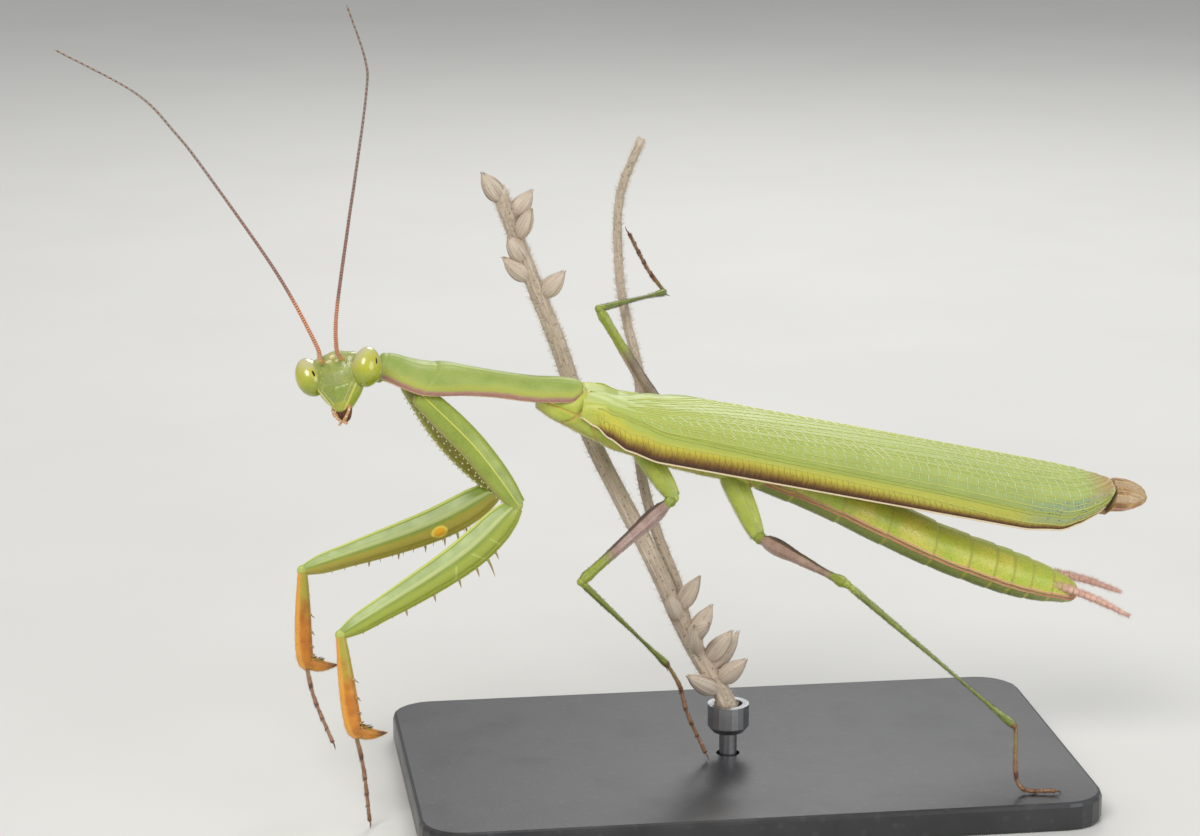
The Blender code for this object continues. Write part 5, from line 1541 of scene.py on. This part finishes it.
def stalk(look, rows, cols, seed):
    dice = np.random.default_rng(seed)
    path = smoothPath(chain(look["foot"], look["links"]), rows)
    t = np.linspace(0, 1, rows + 1)[:, None]
    a = ring(cols)
    wave = np.zeros((rows + 1, cols))
    for count in (2, 3, 5, 8, 13):
        shift, speed = dice.uniform(0, turn), dice.uniform(2, 9)
        wave += np.sin(count * a + shift + 2 * np.sin(speed * t + shift)) / count
    lumps = sum(np.sin(speed * t + dice.uniform(0, turn)) for speed in (21, 47, 90)) / 3
    radii = look["radius"] * (1 - look["taper"] * t)
    reach = radii * (0.93 + 0.05 * np.cos(look["ribs"] * a + 3 * np.sin(4 * t)) + 0.03 * wave
                     + 0.03 * lumps)
    grid = sweep(path, reach * np.cos(a), reach * np.sin(a))
    jag = dice.uniform(-0.25, 0.25, cols)[:, None] * unit(path[-1] - path[-2])
    grid[-1] += jag
    grid[-2] += jag * 0.4
    shape = addGrid(newShape(), grid, {
        "along": t * 49, "around": a / turn, "edge": np.clip((t - 0.985) * 60, 0, 0.7)})
    return shape, grid, path


def husk(shape, root, axis, length, seed):
    dice = np.random.default_rng(seed)
    wide, deep = perch["huskRadii"]
    side = unit(np.cross(axis, (0, 0, 1)))
    front = np.cross(side, axis)
    p = np.linspace(0, 1, 30)[:, None]
    body = np.sin(np.pi * p ** 0.72) ** 0.75
    body = np.where(p > 0.72, body * (1 - ((p - 0.72) / 0.28) ** 2 * 0.55), body)
    for spin, scale, span, gape in perch["huskScales"]:
        spin = spin + dice.uniform(-0.3, 0.3)
        q = np.linspace(-1, 1, 22)[None]
        phi = q * span + spin
        vein = 0.03 * np.cos(9 * (phi - spin)) * np.sin(np.pi * p)
        curl = 1 + 0.14 * np.abs(q) ** 3
        sheets = []
        for inset in (0.0, perch["huskShell"]):
            reach = body * scale * curl + vein - inset
            x = wide * reach * np.cos(phi) + gape * np.cos(spin) * p
            y = deep * reach * np.sin(phi) * 0.9 + gape * np.sin(spin) * p
            z = length * (0.02 + p * (0.9 + 0.12 * scale) * (1 - 0.05 * q * q))
            sheets.append(root + side * x[..., None] + front * y[..., None] + axis * z[..., None])
        loop = np.concatenate([sheets[0], sheets[1][:, ::-1]], axis=1)
        around = np.concatenate([q, q[:, ::-1]], axis=1) * 0.25 + 0.3
        edge = np.concatenate([np.abs(q), np.abs(q)], axis=1) ** 8 * 0.6
        edge = np.maximum(edge, np.clip((p - 0.86) / 0.14, 0, 1) * 0.6)
        addGrid(shape, loop, {
            "along": p * length + seed * 7.0, "around": around, "edge": edge})
    stem = root + axis * np.linspace(-0.9, 0.25, 8)[:, None]
    addGrid(shape, roundBar(stem, np.linspace(0.24, 0.2, 8), 12),
            {"along": 3.0, "around": 0.1, "edge": 0.1})


def perchStems():
    straw = {"pale": (216, 202, 182), "dark": (168, 146, 126), "shade": (188, 168, 148),
             "fineness": 7.0, "stretch": 0.6, "fleck": 2600.0, "dotStrength": 0.55,
             "dots": (92, 72, 58), "edge": (226, 214, 192), "relief": 0.06}
    papery = dict(straw, pale=(222, 208, 190), dark=(178, 158, 140), shade=(196, 178, 158),
                  fineness=9.0, stretch=0.35, dotStrength=0.2, edge=(166, 138, 112), relief=0.03)
    stemMaterial, huskMaterial = dryPlant("strawStem", straw), dryPlant("paperyHusk", papery)
    for name, cols, seed in (("stem", 56, 81), ("twig", 40, 82)):
        shape, grid, path = stalk(perch[name], 380, cols, seed)
        makePiece("perch" + name.capitalize(), shape, stemMaterial, ["perch_" + name])
        hairPiece("perchHairs" + name.capitalize(), whiteHair, "dry_stem",
                  (grid, 7000 if name == "stem" else 5200, 0.55, 0.015, seed + 10, {
                      "lean": 0.3, "weight": np.linspace(0.25, 1, len(grid))[:, None],
                      "spread": 0.45}))
        if name == "stem":
            husks = newShape()
            for count, (height, heading, pitch, length) in enumerate(perch["husks"]):
                root = path[np.abs(path[:, 2] - height).argmin()]
                axis = direction(heading, pitch)
                husk(husks, root + axis * 0.3, axis, length, count)
            makePiece("perchHusks", husks, huskMaterial, [], 0)


# Display stand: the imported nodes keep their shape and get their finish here.

stand = {"plate": [(38, 38, 40), (50, 50, 53)], "plateFlecks": (72, 72, 76),
         "rod": [(150, 150, 152), (196, 196, 198)]}


def standFinish():
    black, tree, shader = newMaterial("satinBlack", {"Coat Weight": 0.25, "Coat Roughness": 0.3})
    mottle, flecks, height = grainOf(tree, 260.0, 3800.0, 900.0)
    colour = mixColour(tree, mottle, *[paint(*tint) for tint in stand["plate"]])
    colour = stain(tree, colour, flecks, stand["plateFlecks"], 0.3)
    rough = remap(tree, mottle, given=(0.34, 0.46))
    finishSurface(tree, shader, colour, rough, height, 0.02, 0.5)
    steel, tree, shader = newMaterial("brushedSteel", {"Metallic": 1.0})
    place = addNode(tree, "ShaderNodeTexCoord").outputs["Object"]
    x, y, z = addNode(tree, "ShaderNodeSeparateXYZ", {"Vector": place}).outputs
    squeezed = addNode(tree, "ShaderNodeCombineXYZ", {
        "X": x, "Y": y, "Z": math2(tree, "MULTIPLY", z, 14.0)})
    brush = addNode(tree, "ShaderNodeTexNoise", {
        "Vector": squeezed.outputs[0], "Scale": 900.0, "Detail": 4.0}).outputs["Fac"]
    colour = mixColour(tree, brush, *[paint(*tint) for tint in stand["rod"]])
    rough = remap(tree, brush, given=(0.24, 0.42))
    finishSurface(tree, shader, colour, rough, brush, 0.006, 0.4)
    for node, material in (("stand_base", black), ("stand_rod", steel)):
        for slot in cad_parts[node].material_slots:
            slot.material = material
    print("finished the stand")


# Build.

paleHair = hairMaterial("paleHair", (198, 200, 150), (236, 236, 214))
whiteHair = hairMaterial("whiteHair", (204, 192, 172), (238, 232, 220), 0.6)
brownHair = hairMaterial("brownHair", (96, 58, 20), (150, 100, 44))
goldHair = hairMaterial("goldHair", (196, 130, 40), (236, 196, 110))
darkHair = hairMaterial("darkHair", (58, 50, 34), (96, 84, 62))
blushHair = hairMaterial("blushHair", (206, 150, 134), (236, 206, 192))

headSkin()
eyes()
mouthParts()
feeler("Right")
feeler("Left")
neckSkin()
pronotumShield()
thoraxSkin()
abdomenSkin()
tail("Left", -1)
tail("Right", 1)
wings()
for side in ("left", "right"):
    foreLeg(side)
    walkingLeg("mid", side)
    walkingLeg("hind", side)
perchStems()
standFinish()
print("triangles in all", sum(made))


# Stage, light and camera.

stage = {"floorRadius": 3.0, "floorColour": (222, 221, 217),  # the floor's radius is in metres
         "sky": (0.86, 0.87, 0.88, 1.0), "skyStrength": 0.5}
camera = {"azimuth": -8.0, "elevation": 14.0, "aim": (-11.6, 0.0, 31.7), "distance": 273.3,
          "lens": 100.0, "sensor": 36.0}
lamps = {  # place from the aim, width, watts, colour
    "key": ((-170, -260, 330), 240, 1.1, (1.0, 0.98, 0.95)),
    "fill": ((260, -260, 120), 260, 0.45, (0.95, 0.98, 1.0)),
    "rim": ((90, 300, 260), 200, 0.6, (1.0, 1.0, 1.0)),
}


def buildStage():
    rim = stacked(*circle(96), 0)[0] * stage["floorRadius"]
    mesh = bpy.data.meshes.new("floor")
    mesh.from_pydata([tuple(p) for p in rim], [], [tuple(range(len(rim)))])
    material, tree, shader = newMaterial("floorPale", {})
    mottle, _, height = grainOf(tree, 30.0, 600.0)
    pale = stage["floorColour"]
    colour = mixColour(tree, mottle, paint(*pale), paint(*[v - 3 for v in pale]))
    rough = remap(tree, mottle, given=(0.75, 0.85))
    finishSurface(tree, shader, colour, rough, height, 0.01, 0.2)
    mesh.materials.append(material)
    floor = put("floor", mesh)
    world = bpy.data.worlds.new("softRoom")
    world.use_nodes = True
    sky = world.node_tree.nodes["Background"]
    sky.inputs["Color"].default_value = stage["sky"]
    sky.inputs["Strength"].default_value = stage["skyStrength"]
    bpy.context.scene.world = world
    aim = Vector(camera["aim"]) * mm
    for name, (place, width, watts, tint) in lamps.items():
        data = bpy.data.lights.new(name, "AREA")
        data.shape = "DISK"
        data.size = width * mm
        data.energy = watts
        data.color = tint
        lamp = put(name, data)
        lamp.location = aim + Vector(place) * mm
        lamp.rotation_euler = (aim - lamp.location).to_track_quat("-Z", "Y").to_euler()
    az, el = math.radians(camera["azimuth"]), math.radians(camera["elevation"])
    back = Vector((math.sin(az) * math.cos(el), -math.cos(az) * math.cos(el), math.sin(el)))
    data = bpy.data.cameras.new("view")
    data.lens, data.sensor_width = camera["lens"], camera["sensor"]
    data.clip_start, data.clip_end = 0.01, 20.0
    view = put("view", data)
    view.location = aim + back * camera["distance"] * mm
    view.rotation_euler = (-back).to_track_quat("-Z", "Y").to_euler()
    bpy.context.scene.camera = view
    bpy.context.scene.view_settings.view_transform = "Standard"
    print("lit the stage")


buildStage()
